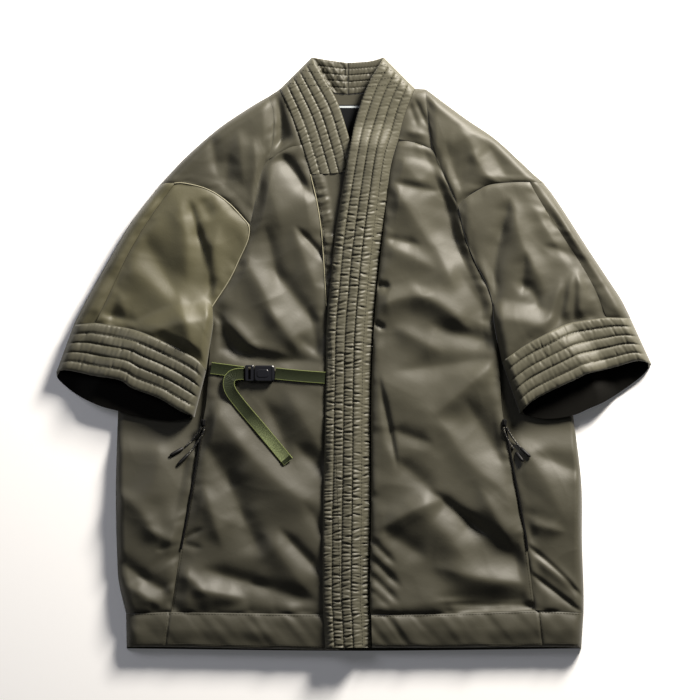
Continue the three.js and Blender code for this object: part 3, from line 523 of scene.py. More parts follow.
for name, sides in LOWER:
    sheet = Sheet(sides, cell=6.0)
    swell = held(sheet, sides, 12) * (0.25 * drape(sheet, 3, 45) + 0.3 * crease(sheet, 4, 60))
    panel(name, sheet.at(WALL - 0.35 + np.clip(swell, -0.3, 0.3)), sheet.at(0), [sheet], "floor", SHADE)

# Shoulders and sleeves
# The same nylon over padding. A shoulder panel turns down along the top of the shoulder; a sleeve is a
# front and a back, and the back wraps over the top of the arm to a seam on the front.
SLEEVE_HIGH = SLEEVE_IN + WALL
SUPPORT = 11.6  # height of the body's side under a sleeve
SPAN = (30, 60)  # how far from the body a sleeve comes down to the floor


def off_line(sheet, points):
    """Distance in plan from each point to a line."""
    x, y = sheet.x, sheet.y
    best = np.full(x.shape, 1e9)
    for (ax, ay), (bx, by) in zip(points, points[1:]):
        f = np.clip(((x - ax) * (bx - ax) + (y - ay) * (by - ay)) / ((bx - ax) ** 2 + (by - ay) ** 2), 0, 1)
        best = np.minimum(best, np.hypot(x - ax - f * (bx - ax), y - ay - f * (by - ay)))
    return best


def lies(body, sheet):
    """Height of what a sleeve lies on: the side of the body, or the floor beyond its edge."""
    x, y = sheet.x, sheet.y
    shape = chain(body["pocket"], body["side"][::-1], body["hidden"][::-1])
    odd = np.zeros(x.shape, bool)
    for (ax, ay), (bx, by) in zip(shape, np.roll(shape, -1, axis=0)):
        if ay != by:
            odd ^= ((ay > y) != (by > y)) & (x < ax + (y - ay) / (by - ay) * (bx - ax))
    d = np.where(odd, 0, off_line(sheet, shape))
    return SUPPORT * (1 - smooth((d - SPAN[0]) / (SPAN[1] - SPAN[0])))


def relief(sheet, seams, folds, seed, pucker=1.0):
    """Filling, listed folds, seam gathers and a slow swell over a panel, held at its seams."""
    loose, tight = held(sheet, seams, 16), held(sheet, seams, 3)
    total = puffed(sheet, seams) + loose * (3.4 * drape(sheet, seed, 150) + 0.5 * drape(sheet, seed + 1, 64))
    total += loose * 0.3 * crease(sheet, seed + 3, 95) + held(sheet, seams, 5) * 0.07 * drape(sheet, seed + 2, 22)
    for row in folds:
        total += fold(sheet, row) * (tight if row[4] <= 3 else loose)
    for i, side in enumerate(seams):
        total += gathers(sheet, side, seed + 10 + i, 9, 13, 0.9 * pucker)
        total += gathers(sheet, side, seed + 20 + i, 21, 30, 1.7 * pucker)
    return total


# Columns: x0, y0, x1, y1, width on the left of its way, on the right, bend, height
SHOULDER_FOLDS = {
    "right": [(-147, 276, -142, 226, 9, 8, 0, 2.5), (-128, 266, -127, 212, 8, 7, 2, 2.5),
              (-182, 276, -176, 236, 6, 5, 0, -2), (-160, 250, -165, 218, 6, 8, 0, -2)],
    "left": [(139, 284, 156, 250, 8, 9, 3, 3), (155, 252, 184, 217, 8, 9, -3, 3),
             (120, 262, 136, 214, 8, 6, 0, -2.2), (172, 268, 192, 232, 7, 8, 0, -2)],
}
SLEEVE_FOLDS = {
    "right": [(-209, 188, -197, 145, 4, 9, 0, -3.6), (-197, 147, -184, 76, 5, 10, 3, -3.8),
              (-222, 186, -214, 110, 12, 10, 4, 2.6), (-196, 196, -184, 176, 8, 8, 0, -2.6),
              (-290, 112, -215, 40, 14, 16, 5, 3.0), (-270, 150, -232, 84, 10, 12, 0, -2.4),
              (-176, 150, -190, 90, 8, 9, 0, 2.5), (-318, 50, -284, 41, 7, 5, 0, -3),
              (-300, 74, -290, 40, 7, 6, 0, 2.0), (-222, 66, -208, 8, 8, 9, 0, 2.4)],
    "left": [(197, 190, 189, 152, 5, 8, 0, -3.4), (189, 156, 178, 74, 6, 9, -3, -3.8),
             (204, 184, 236, 100, 9, 11, -5, 3.4), (219, 122, 216, 84, 5, 6, 0, -3),
             (216, 90, 236, 62, 5, 7, 4, -3), (250, 26, 262, 84, 6, 7, 2, 2.6),
             (270, 36, 279, 94, 6, 6, 0, 2.4), (290, 42, 287, 102, 6, 7, 0, 2.6),
             (260, 30, 270, 80, 4, 4, 0, -2.4), (281, 40, 283, 92, 4, 4, 0, -2.4),
             (250, 137, 284, 127, 4, 6, 0, -2.2), (240, 175, 268, 120, 9, 10, 0, 2.2)],
}
for seed, (name, body) in enumerate(HALVES, 1):
    # The right sleeve is painted lighter and yellower than the rest: painted sheen.
    paint = PAINTED_SHEEN_OLIVE if name == "right" else OLIVE
    sides = dict(left=body["shoulder"], right=body["raglan_low"], top=body["raglan_top"],
                 bottom=chain(body["arc_out"], body["arc"]))
    sheet = Sheet(sides)
    z = FRONT_IN + WALL + relief(sheet, ("right", "top", "bottom"), SHOULDER_FOLDS[name], 100 * seed)
    under = Sheet(sides, gone=dict(left=WALL))
    inner = turned(under, "left", FRONT_IN, WALL)
    panel(f"shoulder_front_{name}", sheet.at(turned(sheet, "left", z)), under.at(inner), [sheet],
          f"shoulder_back_{name}_cloth", OLIVE)

    inside = chain(body["armhole"], body["underarm"], body["sleeve_end"])
    turn = length_of(body["armhole"]) / length_of(inside)
    sides = dict(left=body["sleeve_seam"], right=inside, top=body["arc"], bottom=body["cuff_top"])
    sheet = Sheet(sides)

    def rolled(sheet, z):
        """Turns the sleeve's inner side down below the armhole."""
        share = smooth((sheet.v - turn + 0.05) / 0.15)
        floor = lies(body, sheet) + LANDING + 0.3
        drop = 1 - share * (1 - quarter(sheet.d["right"], ROLL))
        return floor + (z - floor) * drop

    base = lies(body, sheet) + SLEEVE_IN
    z = base + WALL + relief(sheet, ("left", "right", "top", "bottom"), SLEEVE_FOLDS[name], 100 * seed + 40)
    outer = rolled(sheet, z)
    panel(f"sleeve_front_{name}", sheet.at(outer), sheet.at(np.minimum(rolled(sheet, base), outer - 0.6)),
          [sheet], f"sleeve_back_{name}_cloth", paint)

    over = dict(left=body["sleeve_edge"], right=body["sleeve_seam"], top=body["arc_out"], bottom=body["cuff_out"])
    wrapped = dict(left=body["sleeve_edge"], right=inside, top=chain(body["arc_out"], body["arc"]),
                   bottom=chain(body["cuff_out"], body["cuff_top"]))
    walls = []
    for gone in (WALL, 0):
        above = Sheet(over, gone=dict(left=gone))
        below = Sheet(wrapped, gone=dict(left=gone), size=(40, above.size[1]))
        round_edge = quarter(above.d["left"] - gone, ROLL - gone)
        high = lies(body, above) + gone + (SLEEVE_HIGH - 2 * gone) * round_edge
        if not gone:
            high = high + round_edge * (relief(above, ("right", "top", "bottom"), (), 100 * seed + 70) - 0.5)
        walls.insert(0, np.hstack([above.at(high)[:, ::-1], below.at(lies(body, below) + gone)[:, 1:]]))
    panel(f"sleeve_back_{name}", *walls, [above, below], "floor", paint)

# Cuffs
# Quilted rings of five sewn channels, open at both ends; the back lip shows below the front one.


def chance(which, seed):
    """A random value between -1 and 1 for each whole number."""
    return np.random.default_rng(seed).uniform(-1, 1, 4096)[which.astype(int) % 4096]


def quilting(f, s, period, seed, slant=0.2, height=QUILT, pull=1.0, uneven=0.16):
    """Five channels across f, each a low rib between two stitched grooves. The thread gathers it,
    so creases cross it about a period apart. Each crease has its own place, slant and depth, and
    most run out before the far groove; fainter ones come between, and the grooves pucker."""
    f = np.clip(f, 0, 1 - 1e-6) * CHANNELS
    row = np.floor(f)
    t = f - row
    rib = (4 * t * (1 - t)) ** 0.3
    edge = np.minimum(t, 1 - t)
    total = height * rib * (0.9 + 0.2 * ripple(s / (1.4 * period) + 53 * row, seed + 1))
    for k, (gap, width, depth) in enumerate(((period, 0.1, 2.6), (0.55 * period, 0.15, 1.1))):
        width = max(width, 1.05 / gap)
        base = s / gap + 0.3 * ripple(s / (2.9 * gap) + 37 * row, seed + 2 + k) + 0.61 * row
        which = np.round(base)
        code = which + 311 * row
        lean = slant + uneven * chance(code, seed + 9) + 0.1 * np.sin(3 * t + code)
        off = base - which - 0.13 * chance(code, seed + 10) + lean * (t - 0.5)
        side = chance(code, seed + 11)
        depth = depth * (0.55 + 0.45 * chance(code, seed + 12 + k)) * np.clip(0.75 + side * (2 * t - 1), 0, 1.3)
        total -= pull * depth * np.exp(-(off / width) ** 2) * (0.3 + 0.7 * rib)
        total += pull * 0.3 * depth * np.exp(-((np.abs(off) - 2.4 * width) / (1.6 * width)) ** 2) * rib
    beads = 0.45 * np.sin(2 * np.pi * s / 3.9 + 2 * row) * np.exp(-edge / 0.13)
    return total - 0.7 * np.exp(-(edge / 0.06) ** 2) + beads


cuff_fronts = []
for seed, (name, body) in enumerate(HALVES, 1):
    seam = chain(body["cuff_out"], body["cuff_top"])
    front, back = (dict(left=np.array([seam[0], rim[0]]), right=np.array([seam[-1], rim[-1]]), top=seam, bottom=rim)
                   for rim in (body["cuff_front"], body["cuff_back"]))
    size = Sheet(front, cell=1.5).size
    walls = []
    for gone in (0, CUFF_WALL):
        ends = dict(left=gone + HALF_GAP, right=gone + HALF_GAP)
        high = Sheet(front, gone=ends, size=size)
        low = Sheet(back, gone=ends, size=size)
        d = np.minimum(high.d["left"], high.d["right"]) - gone
        ribs = 0 if gone else (0.6 * drape(high, seed, 40) +
                               quilting(high.v, high.s["top"], 12, 60 * seed, 0.1, 3.4, 0.65 - 0.15 * seed, 0.3))
        lip = 0 if gone else -1.5 * np.exp(-high.d["bottom"] / 3)
        z = lies(body, high) + gone + (CUFF_HIGH - 2 * gone + ribs + lip) * quarter(d, ROLL - gone)
        upper = high.at(z)
        lower = low.at(lies(body, low) + gone)[:, ::-1]
        walls.append(np.hstack([upper, lower[:, 1:-1]]))
    panel(f"cuff_{name}", *walls, [high, low], "floor", QUILTED, ring=True)
    cuff_fronts.append(front)

# Side panels
# Plain nylon from the pocket seam to the side, where they turn down to the floor. The sleeve
# presses them flat above.
SIDE_FOLDS = {
    "right": [(-298, -180, -259, -228, 9, 11, 4, 3.2), (-262, -226, -228, -243, 6, 7, 0, 2.4),
              (-303, -262, -268, -287, 6, 9, 0, -3), (-270, -286, -236, -306, 6, 6, 0, -2.6),
              (-250, -120, -268, -190, 16, 14, 6, 3), (-215, -130, -228, -200, 8, 8, 0, -2.2),
              (-226, -244, -250, -250, 3, 4, 0, -1.6), (-285, -300, -250, -322, 6, 6, 0, 2.4)],
    "left": [(225, -247, 288, -306, 2, 3.5, 2, -1.8), (230, -283, 291, -330, 2, 3.5, 0, -1.8),
             (221, -214, 228, -238, 4, 3, 0, -2.6),
             (212, -120, 262, -200, 14, 16, 5, 3), (238, -130, 286, -150, 10, 8, 0, -2.4),
             (234, -262, 280, -296, 5, 5, 0, 2.2), (222, -216, 262, -226, 6, 6, 0, 2.4)],
}
LOW_IN = 6.0
PRESSED = (-128, -93)  # y over which the sleeve stops pressing a side panel
RISE_FROM = -112  # y where the panel starts to rise to the fronts
RISE_OVER = 76
for seed, (name, body) in enumerate(HALVES, 1):
    sides = dict(left=body["side"], right=body["pocket"], top=body["hidden"][::-1], bottom=body["hem_seam_side"])
    sheet = Sheet(sides, size=(48, 160))
    under = Sheet(sides, gone=dict(left=WALL), size=sheet.size)
    walls = []
    for face, gone in ((sheet, 0), (under, WALL)):
        swell = smooth((PRESSED[1] - face.y) / (PRESSED[1] - PRESSED[0]))
        rise = smooth((RISE_FROM - face.y) / RISE_OVER)
        z = LOW_IN + (FRONT_IN - LOW_IN) * rise
        if not gone:
            z += WALL + swell * (relief(face, ("right", "bottom"), SIDE_FOLDS[name], 300 * seed, 1.2) + 0.5)
            z += swell * (FRONT_IN - LOW_IN) * (smooth((PRESSED[1] - face.y) / RISE_OVER) - rise)
        walls.append(face.at(turned(face, "left", z, gone)))
    panel(f"side_{name}", *walls, [sheet], "back_cloth", OLIVE)

# Fronts and yokes
# Two large panels from the yoke seams to the hem seam. The folds are the ones in the picture.
FRONT_FOLDS = {
    "right": [(-93, 256, -57, 209, 5, 8, 0, -4.2), (-111, 152, -98, 100, 7, 9, 0, -2.8),
              (-98, 102, -56, 48, 8, 10, 0, -3.6), (-56, 49, -45, 3, 7, 8, 0, -2.8),
              (-145, 124, -105, 52, 10, 12, 3, 3.4), (-106, 52, -75, 12, 10, 9, 0, 3.2),
              (-181, 58, -152, 4, 8, 10, 0, -3.8), (-154, 5, -58, -9, 8, 9, -3, -3.6),
              (-168, 47, -128, 8, 7, 8, 0, 3.4), (-130, 10, -88, -1, 6, 7, 0, 2.8),
              (-68, 19, -46, 2, 6, 6, 0, -2.6), (-120, 232, -96, 168, 12, 12, 3, 2.4),
              (-68, 156, -37, 123, 3, 4, 0, -3), (-74, 150, -52, 92, 9, 9, 0, 2.2),
              (-183, -72, -142, -120, 14, 18, 0, 4.4), (-143, -120, -63, -190, 15, 18, -4, 4.6),
              (-184, -124, -158, -163, 10, 12, 0, -4), (-159, -160, -142, -207, 11, 11, 0, -4),
              (-143, -206, -122, -250, 10, 12, 0, -3.6), (-221, -243, -198, -248, 3, 4, 0, -1.8),
              (-222, -238, -198, -226, 3, 3, 0, -2), (-224, -280, -196, -303, 7, 8, 2, 3.6),
              (-197, -303, -150, -312, 7, 8, 0, 3.2), (-180, -279, -120, -296, 7, 11, 0, -3.4),
              (-120, -296, -60, -313, 7, 10, 0, -3), (-87, -233, -46, -276, 5, 7, 0, -3),
              (-80, -60, -44, -120, 12, 12, 0, 2.6), (-110, -70, -86, -128, 9, 9, 3, -2.8),
              (-70, -120, -36, -150, 7, 8, 0, -2.4), (-190, -180, -172, -236, 9, 8, 0, 2.8),
              (-110, -236, -66, -296, 12, 12, 0, 3), (-60, -196, -32, -232, 7, 7, 0, -2.2)],
    "left": [(61, 246, 90, 214, 10, 11, 0, 2.8), (54, 206, 92, 148, 11, 12, 2, 3.2),
             (46, 138, 94, 114, 9, 10, 0, 2.8), (54, 219, 98, 210, 4, 6, 0, -2.6),
             (44, 148, 78, 141, 4, 6, 0, -2.6), (28, 87, 44, 86, 3, 4, 1, -5), (26, 40, 38, 33, 2.5, 3, 0, -5),
             (32, 60, 88, 74, 9, 10, 4, 3.6), (87, 74, 141, 37, 9, 10, 4, 3.8),
             (112, 34, 176, 14, 9, 12, 0, -3.8), (106, 262, 148, 98, 18, 22, 4, -5),
             (138, 100, 174, 46, 12, 12, 0, -3), (30, -40, 112, -96, 24, 24, 5, 3.6),
             (36, -47, 52, -127, 2.4, 4, 0, -2.6),
             (52, -98, 92, -112, 6, 8, 0, -2.8), (116, -68, 169, -22, 9, 11, 0, 3.4),
             (108, -183, 160, -224, 5, 15, 0, -4.4), (148, -214, 221, -272, 10, 17, 0, -4.4),
             (46, -217, 104, -190, 10, 8, 3, 3.4), (76, -200, 142, -262, 17, 18, 5, 3.4),
             (46, -230, 84, -256, 9, 10, 0, -3.2), (22, -238, 48, -264, 3, 5, 0, -2.8),
             (22, -260, 54, -292, 3, 6, 0, -2.8), (22, -282, 52, -312, 3, 5, 0, -2.6),
             (22, -303, 42, -320, 3, 4, 0, -2.2), (120, -276, 202, -292, 10, 9, -3, 3.4),
             (126, -312, 232, -317, 8, 9, 0, -3), (128, -321, 236, -322, 3, 8, 0, -2.6),
             (120, -100, 186, -170, 14, 14, -6, 3.6),
             (70, -20, 160, -8, 9, 10, 0, -2.6), (60, -140, 96, -170, 8, 9, 0, -2.6),
             (150, -70, 186, -130, 9, 9, 0, -2.4), (166, -180, 200, -240, 9, 9, 0, 2.8),
             (60, 30, 104, 6, 9, 9, 0, 2.6), (98, 150, 124, 96, 10, 10, 0, 2.4)],
}
FRONTS = [
    ("front_right", "right", dict(
        left=chain(RIGHT["raglan_low"], RIGHT["armhole"], RIGHT["underarm"], RIGHT["pocket"]),
        right=chain(COLLAR["seam_low"], COLLAR["strip_seam"]), top=COLLAR["yoke_right"], bottom=RIGHT["hem_seam"])),
    ("front_left", "left", dict(
        left=COLLAR["seam_front"],
        right=chain(LEFT["raglan_low"], LEFT["armhole"], LEFT["underarm"], LEFT["pocket"]),
        top=COLLAR["yoke_left"], bottom=LEFT["hem_seam"][::-1])),
]
for seed, (name, side, sides) in enumerate(FRONTS, 1):
    sheet = Sheet(sides)
    z = FRONT_IN + WALL + relief(sheet, ("left", "right", "top", "bottom"), FRONT_FOLDS[side], 500 * seed)
    if side == "left":
        d = sheet.d["left"]
        z += 3.6 * (1 - np.exp(-d / 3)) * np.exp(-d / 24) * held(sheet, ("top", "bottom"), 9)
    z = np.maximum(z, LANDING + 2.5)
    panel(name, sheet.at(z), sheet.at(np.clip(z - WALL, LANDING, FRONT_IN)), [sheet], "back_cloth", OLIVE)

YOKES = [
    ("yoke_right", dict(left=RIGHT["raglan_top"], right=COLLAR["seam_top"], top=COLLAR["neck_right_yoke"],
                        bottom=COLLAR["yoke_right"])),
    ("yoke_left", dict(left=COLLAR["seam_yoke"], right=LEFT["raglan_top"], top=COLLAR["neck_left_yoke"],
                       bottom=COLLAR["yoke_left"])),
]
YOKE_FOLDS = [
    [(-97, 336, -93, 256, 8, 11, 0, -6.5)],
    [(58, 288, 98, 280, 5, 6, -2, 4), (80, 322, 92, 296, 2.5, 3, 0, -3), (72, 318, 80, 296, 2.5, 3, 0, -2.4)],
]
for seed, (name, sides) in enumerate(YOKES, 1):
    sheet = Sheet(sides)
    z = FRONT_IN + WALL + 0.7 * relief(sheet, ("left", "right", "bottom"), YOKE_FOLDS[seed - 1], 700 * seed)
    lapped(name, sides, sheet, "top", z, "back_cloth", OLIVE)

# Hem bands
# One band along the foot of each front, topstitched, with slanting puckers below its seam.
HEMS = [
    ("hem_right", "left", dict(left=RIGHT["hem_side"], right=COLLAR["strip_hem"],
                               top=chain(RIGHT["hem_seam_side"], RIGHT["hem_seam"]), bottom=RIGHT["hem_edge"])),
    ("hem_left", "right", dict(left=COLLAR["seam_hem"], right=LEFT["hem_side"],
                               top=chain(LEFT["hem_seam_side"], LEFT["hem_seam"])[::-1],
                               bottom=LEFT["hem_edge"][::-1])),
]
for seed, (name, side, sides) in enumerate(HEMS, 1):
    sheet = Sheet(sides, cell=1.5)
    lean = sheet.x + 0.8 * (sheet.y + 335) + 3 * ripple(sheet.x / 40, seed)
    near = sheet.d["right" if side == "left" else "left"]
    ridge = ripple(lean / 10, 40 + seed) * (0.3 + 0.9 * np.exp(-near / 80))
    ridge *= smooth(sheet.d["top"] / 4) * smooth(sheet.d["bottom"] / 6)
    far = 0.35 + 0.65 * smooth((ripple(lean / 21, 50 + seed) + 1) - sheet.d["top"] / 45 + 0.3)
    z = FRONT_IN + WALL + puffed(sheet, ("top",), 3.4, 5) * quarter(sheet.d["bottom"], 7) + 1.1 * ridge * far
    z += held(sheet, ("top", "bottom"), 5) * (0.7 * drape(sheet, 800 + seed, 30) + 0.8 * ripple(lean / 26, seed))
    joint = sheet.x + (236 + 0.13 * (-330 - sheet.y)) * (1 if side == "left" else -1)
    z -= 1.5 * np.exp(-(joint / 1.2) ** 2) * smooth(sheet.d["top"] / 2) + 2.6 * (1 - smooth(sheet.d["bottom"] / 24))
    lapped(name, sides, sheet, side, z, "hem_back_cloth", OLIVE)

# Collar, lapel, strip and front band
# Quilted bands of five sewn channels: two halves behind the neck, the lapel of the right front
# and the long band of the left front, which lies over both. The facing strip below the lapel is plain.
RISE = 0.7
UNDER_COLLAR = WALL + RISE * 2.6 + 0.3
BAND_OVER = 21.3
OVERLAP = 26
BAND_LIFT = (262, 300)
BEHIND = [
    ("collar_back_right", dict(left=np.array([COLLAR["right"][0], COLLAR["right_fold"][0]]), right=COLLAR["middle"],
                               top=COLLAR["back_top_right"], bottom=COLLAR["neck_right"])),
    ("collar_back_left", dict(left=COLLAR["middle"], right=np.array([COLLAR["left"][0], COLLAR["left_fold"][-1]]),
                              top=COLLAR["back_top_left"], bottom=COLLAR["neck_left"])),
]
for seed, (name, sides) in enumerate(BEHIND, 1):
    sheet = Sheet(sides, cell=1.2)
    pull = smooth((sheet.v - 0.2) / 0.1) * (0.9 if seed == 1 else 0.4)
    ribs = quilting(sheet.v, sheet.x + 200, 14, 900 + seed, height=1.5, pull=pull)
    z = WALL + ribs * held(sheet, ("left", "right"), 2)
    if seed == 1:
        slanted = (0.83 * sheet.x + 0.55 * sheet.y) / 3.6 + 40
        z += 1.5 * ripple(slanted, 907) * held(sheet, ("top", "bottom", "right"), 4)
    panel(name, sheet.at(np.maximum(z, 2.5)), sheet.at(0), [sheet], "floor", OLIVE)

LAPEL = dict(left=chain(COLLAR["seam_top"], COLLAR["seam_low"]), right=COLLAR["right"], top=COLLAR["right_fold"],
             bottom=COLLAR["lapel_foot"])
sheet = Sheet(LAPEL, cell=1.2)
z = FRONT_IN + WALL + quilting(sheet.u, sheet.s["right"], 10, 920, -0.25, 2.2, 0.55)
lapped("lapel_right", LAPEL, sheet, "top", z, "collar_back_right_cloth", QUILTED, low=UNDER_COLLAR)

strip_edge = eased(line([4, 238], [1, 147], [-4, 93], [-9, 39], [-10, -26], [-12, -123], [-14, -212], [-14, -315],
                        [-11, -379]))
sides = dict(left=chain(COLLAR["strip_seam"], COLLAR["strip_hem"]), right=strip_edge, top=COLLAR["lapel_foot"],
             bottom=line([-20, -379], [-11, -379]))
sheet = Sheet(sides, size=(26, 440))
wrinkle = gathers(sheet, "left", 940, 5.5, 30, 2.2) + 0.6 * drape(sheet, 941, 14)
wrinkle += 2.2 * (1 - np.exp(-sheet.d["left"] / 4))
z = np.minimum(FRONT_IN + WALL + wrinkle * smooth((18 - (sheet.x - sheet.x[:, :1])) / 8), BAND_OVER - 1.2)
panel("strip_right", sheet.at(z), sheet.at(FRONT_IN), [sheet], "back_cloth", OLIVE)

BAND = dict(left=COLLAR["left"], right=chain(COLLAR["seam_yoke"], COLLAR["seam_front"], COLLAR["seam_hem"]),
            top=COLLAR["left_fold"], bottom=line([-37, -376], [23, -376]))
sheet = Sheet(BAND, size=(40, 940))
BAND_WIDE = 60.0


def band_floor(sheet):
    """Height of the band's inside: over the right front, then down to the left front's seam."""
    d = off_line(sheet, COLLAR["left"])
    lifted = BAND_OVER - (BAND_OVER - FRONT_IN) * smooth((d - OVERLAP - 10) / (BAND_WIDE - OVERLAP - 10))
    return FRONT_IN + (lifted - FRONT_IN) * smooth((BAND_LIFT[1] - sheet.y) / (BAND_LIFT[1] - BAND_LIFT[0]))


def tree_of(names):
    """The named pieces' faces in one search tree."""
    points, faces = [], []
    for name in names:
        mesh = bpy.data.objects[name].data
        start = len(points)
        co = np.empty(3 * len(mesh.vertices))
        mesh.vertices.foreach_get("co", co)
        points.extend(map(tuple, co.reshape(-1, 3)))
        ids = np.empty(len(mesh.loops), np.int32)
        mesh.loops.foreach_get("vertex_index", ids)
        faces.extend(map(tuple, (ids + start).reshape(-1, 4)))
    return BVHTree.FromPolygons(points, faces)


def top(tree, x, y):
    """Height in mm of the highest face over a point."""
    hit = tree.ray_cast(Vector((x * MM, y * MM, 0.2)), Vector((0, 0, -1)))[0]
    return hit.z / MM if hit else 0.0


def settled(sheet):
    """How far the band's free edge sinks to the cloth under it, over its first 9 mm."""
    sink = np.zeros_like(sheet.x)
    for j, i in np.argwhere((sheet.d["left"] < 9) & (sheet.y < 250)):
        x, y = sheet.x[j, i], sheet.y[j, i]
        sink[j, i] = max(0, BAND_OVER - max(FRONT_IN + WALL - 1, top(laid_on, x, y)) - 0.3)
    return sink * (1 - smooth(sheet.d["left"] / 9)) * smooth((250 - sheet.y) / 40)


laid_on = tree_of(["front_right_cloth", "strip_right_cloth"])
pull = 0.35 + 0.65 * smooth((225 - sheet.y) / 50)
edge = settled(sheet)
rounding = 1.8 * (1 - smooth(sheet.d["left"] / 3)) * smooth((250 - sheet.y) / 40)
sunk = 5.4 * smooth((sheet.u - 0.79) / 0.07) * smooth((240 - sheet.y) / 120)
ribs = quilting(sheet.u, 380 - sheet.y, 11, 960, 0.12, pull=pull, uneven=0.34)
z = band_floor(sheet) + WALL - edge - rounding - sunk + ribs
lapped("band_left", BAND, sheet, "top", z, "strip_right_cloth", QUILTED,
       lambda under: band_floor(under) - edge, UNDER_COLLAR)

fronts = tree_of(["front_right_cloth", "front_left_cloth", "side_right_cloth", "side_left_cloth",
                  "strip_right_cloth"])

# Webbing
# Green nylon webbing, 15 mm wide, in plain weave with a raised selvedge: the side strap, the strap
# from under the band, and the tail, whose end is folded and sewn.
WEB_WIDE = 15.0
WEB_THICK = 1.8


def webbing_paint():
    """Weft ribs across the webbing every 0.9 mm, and a paler colour at the edges. Lengths of more
    than 75 mm turn paler from there on."""
    paint, tree, shader = material("webbing_green", Roughness=0.7, Specular_IOR_Level=0.2, Sheen_Weight=0.05)
    place = node(tree, "ShaderNodeUVMap")
    split = node(tree, "ShaderNodeSeparateXYZ", {"Vector": place.outputs["UV"]})
    rib = node(tree, "ShaderNodeMath", {0: split.outputs["Y"], 1: 7000.0}, operation="MULTIPLY")
    wave = node(tree, "ShaderNodeMath", {0: rib.outputs[0]}, operation="SINE")
    grain = node(tree, "ShaderNodeTexNoise", {"Vector": place.outputs["UV"], "Scale": 500.0, "Detail": 3.0})
    far = node(tree, "ShaderNodeMapRange", {"Value": split.outputs["Y"], "From Min": 0.075, "From Max": 0.115,
                                            "To Max": 1.5})
    mix = node(tree, "ShaderNodeMath", {0: grain.outputs["Fac"], 1: far.outputs["Result"]}, operation="MULTIPLY")
    tone = mixed(tree, mix.outputs[0], "#1f2610", "#77815a")
    away = node(tree, "ShaderNodeMath", {0: split.outputs["X"]}, operation="ABSOLUTE")
    edge = node(tree, "ShaderNodeMapRange", {"Value": away.outputs[0], "From Min": 0.0064, "From Max": 0.0071})
    tree.links.new(mixed(tree, edge.outputs["Result"], tone, "#737d48"), shader.inputs["Base Color"])
    bump = node(tree, "ShaderNodeBump", {"Height": wave.outputs[0], "Strength": 0.7, "Distance": 0.0003})
    tree.links.new(bump.outputs["Normal"], shader.inputs["Normal"])
    return paint


WEB = webbing_paint()
SELVEDGES = [(-1, -0.3), (-0.96, 0.12), (-0.88, 0.12), (-0.84, 0), (0.84, 0), (0.88, 0.12), (0.96, 0.12), (1, -0.3)]


def ribbon(name, points, wide, thick, lift, paint, profile=SELVEDGES, on=fronts, step=1.5):
    """A flat strip along a line, stiff across and lying on the cloth. profile is a list of pairs:
    share of the half width, rise above the strip's top."""
    way = eased(np.array(points, float))
    count = int(length_of(way) / step)
    f = np.linspace(0, 1, count)
    mid = along(way, f)
    ahead = np.gradient(mid, axis=0)
    ahead /= np.hypot(*ahead.T)[:, None]
    side = np.stack([-ahead[:, 1], ahead[:, 0]], -1)
    height = np.array([max(top(on, *(p + k * wide * n)) for k in (-0.5, -0.25, 0, 0.25, 0.5))
                       for p, n in zip(mid, side)])
    near = np.maximum.reduce([np.roll(np.pad(height, 3, "edge"), k)[3:-3] for k in (-2, -1, 0, 1, 2)])
    height = np.convolve(np.pad(near, 4, "edge"), np.ones(9) / 9, "valid") + 0.25
    height = height + (lift(f) if callable(lift) else lift)
    rows = [np.column_stack([mid + side * (k * wide / 2), height + thick + rise]) for k, rise in profile]
    lows = [np.column_stack([mid + side * (k * wide / 2), height]) for k, _ in profile]
    piece = fabric(name, np.stack(rows, 1), np.stack(lows, 1))
    uv = piece.data.uv_layers.new(name="UVMap")
    ids = np.empty(len(piece.data.loops), np.int32)
    piece.data.loops.foreach_get("vertex_index", ids)
    ids %= count * len(profile)
    across = np.array([k for k, _ in profile])[ids % len(profile)] * wide / 2 * MM
    down = f[ids // len(profile)] * length_of(way) * MM
    uv.data.foreach_set("uv", np.column_stack([across, down]).ravel())
    piece.data.materials.append(paint)
    return piece, np.column_stack([mid, height])


def webbing(name, points, lift=0.0):
    """One length of webbing as a declared sheet."""
    piece, way = ribbon(f"{name}_webbing", points, WEB_WIDE, WEB_THICK, lift, WEB)
    declared(piece, name)
    return way


webbing("strap_side", [(-183, -18), (-160, -21), (-141.4, -23.6)])
webbing("strap_band", [(-100.6, -25), (-70, -28), (-37, -30.5)])
TAIL = [(-141.2, -25.5), (-151, -26), (-159, -31), (-159, -45), (-145, -65), (-118, -97), (-84, -138)]
webbing("strap_tail", TAIL, lift=lambda f: 3.4 * smooth((0.33 - f) / 0.12))

declared(ribbon("strap_tail_fold", [(-87.5, -133.7), (-86, -135.5), (-84.6, -137.3)], WEB_WIDE - 0.6, 0.7,
                WEB_THICK + 0.1, WEB)[0])

# Seam edges
# Where two panels meet, the allowances are pressed to one side and the edge stands up a little.
EDGES = [
    ("strip_seam_edge", COLLAR["strip_seam"][COLLAR["strip_seam"][:, 1] > 60] - [0.9, 0]),
    ("arc_right_edge", chain(RIGHT["arc"], RIGHT["armhole"]) - [0.9, 0.4]),
]
# The raised edges are painted pale olive: a painted highlight for the sheen along each pressed fold.
PAINTED_HIGHLIGHT_EDGE = nylon("nylon_pressed_edge", "#8f8b74", "#7d7963")
covers = tree_of(["front_right_cloth", "front_left_cloth", "side_right_cloth", "side_left_cloth",
                  "strip_right_cloth", "sleeve_front_right_cloth", "shoulder_front_right_cloth"])
for name, way in EDGES:
    declared(ribbon(name, way[::2], 1.3, 0.45, -0.2, PAINTED_HIGHLIGHT_EDGE, [(-1, -0.35), (-0.4, 0.1), (0.4, 0.1), (1, -0.35)],
                    covers)[0])

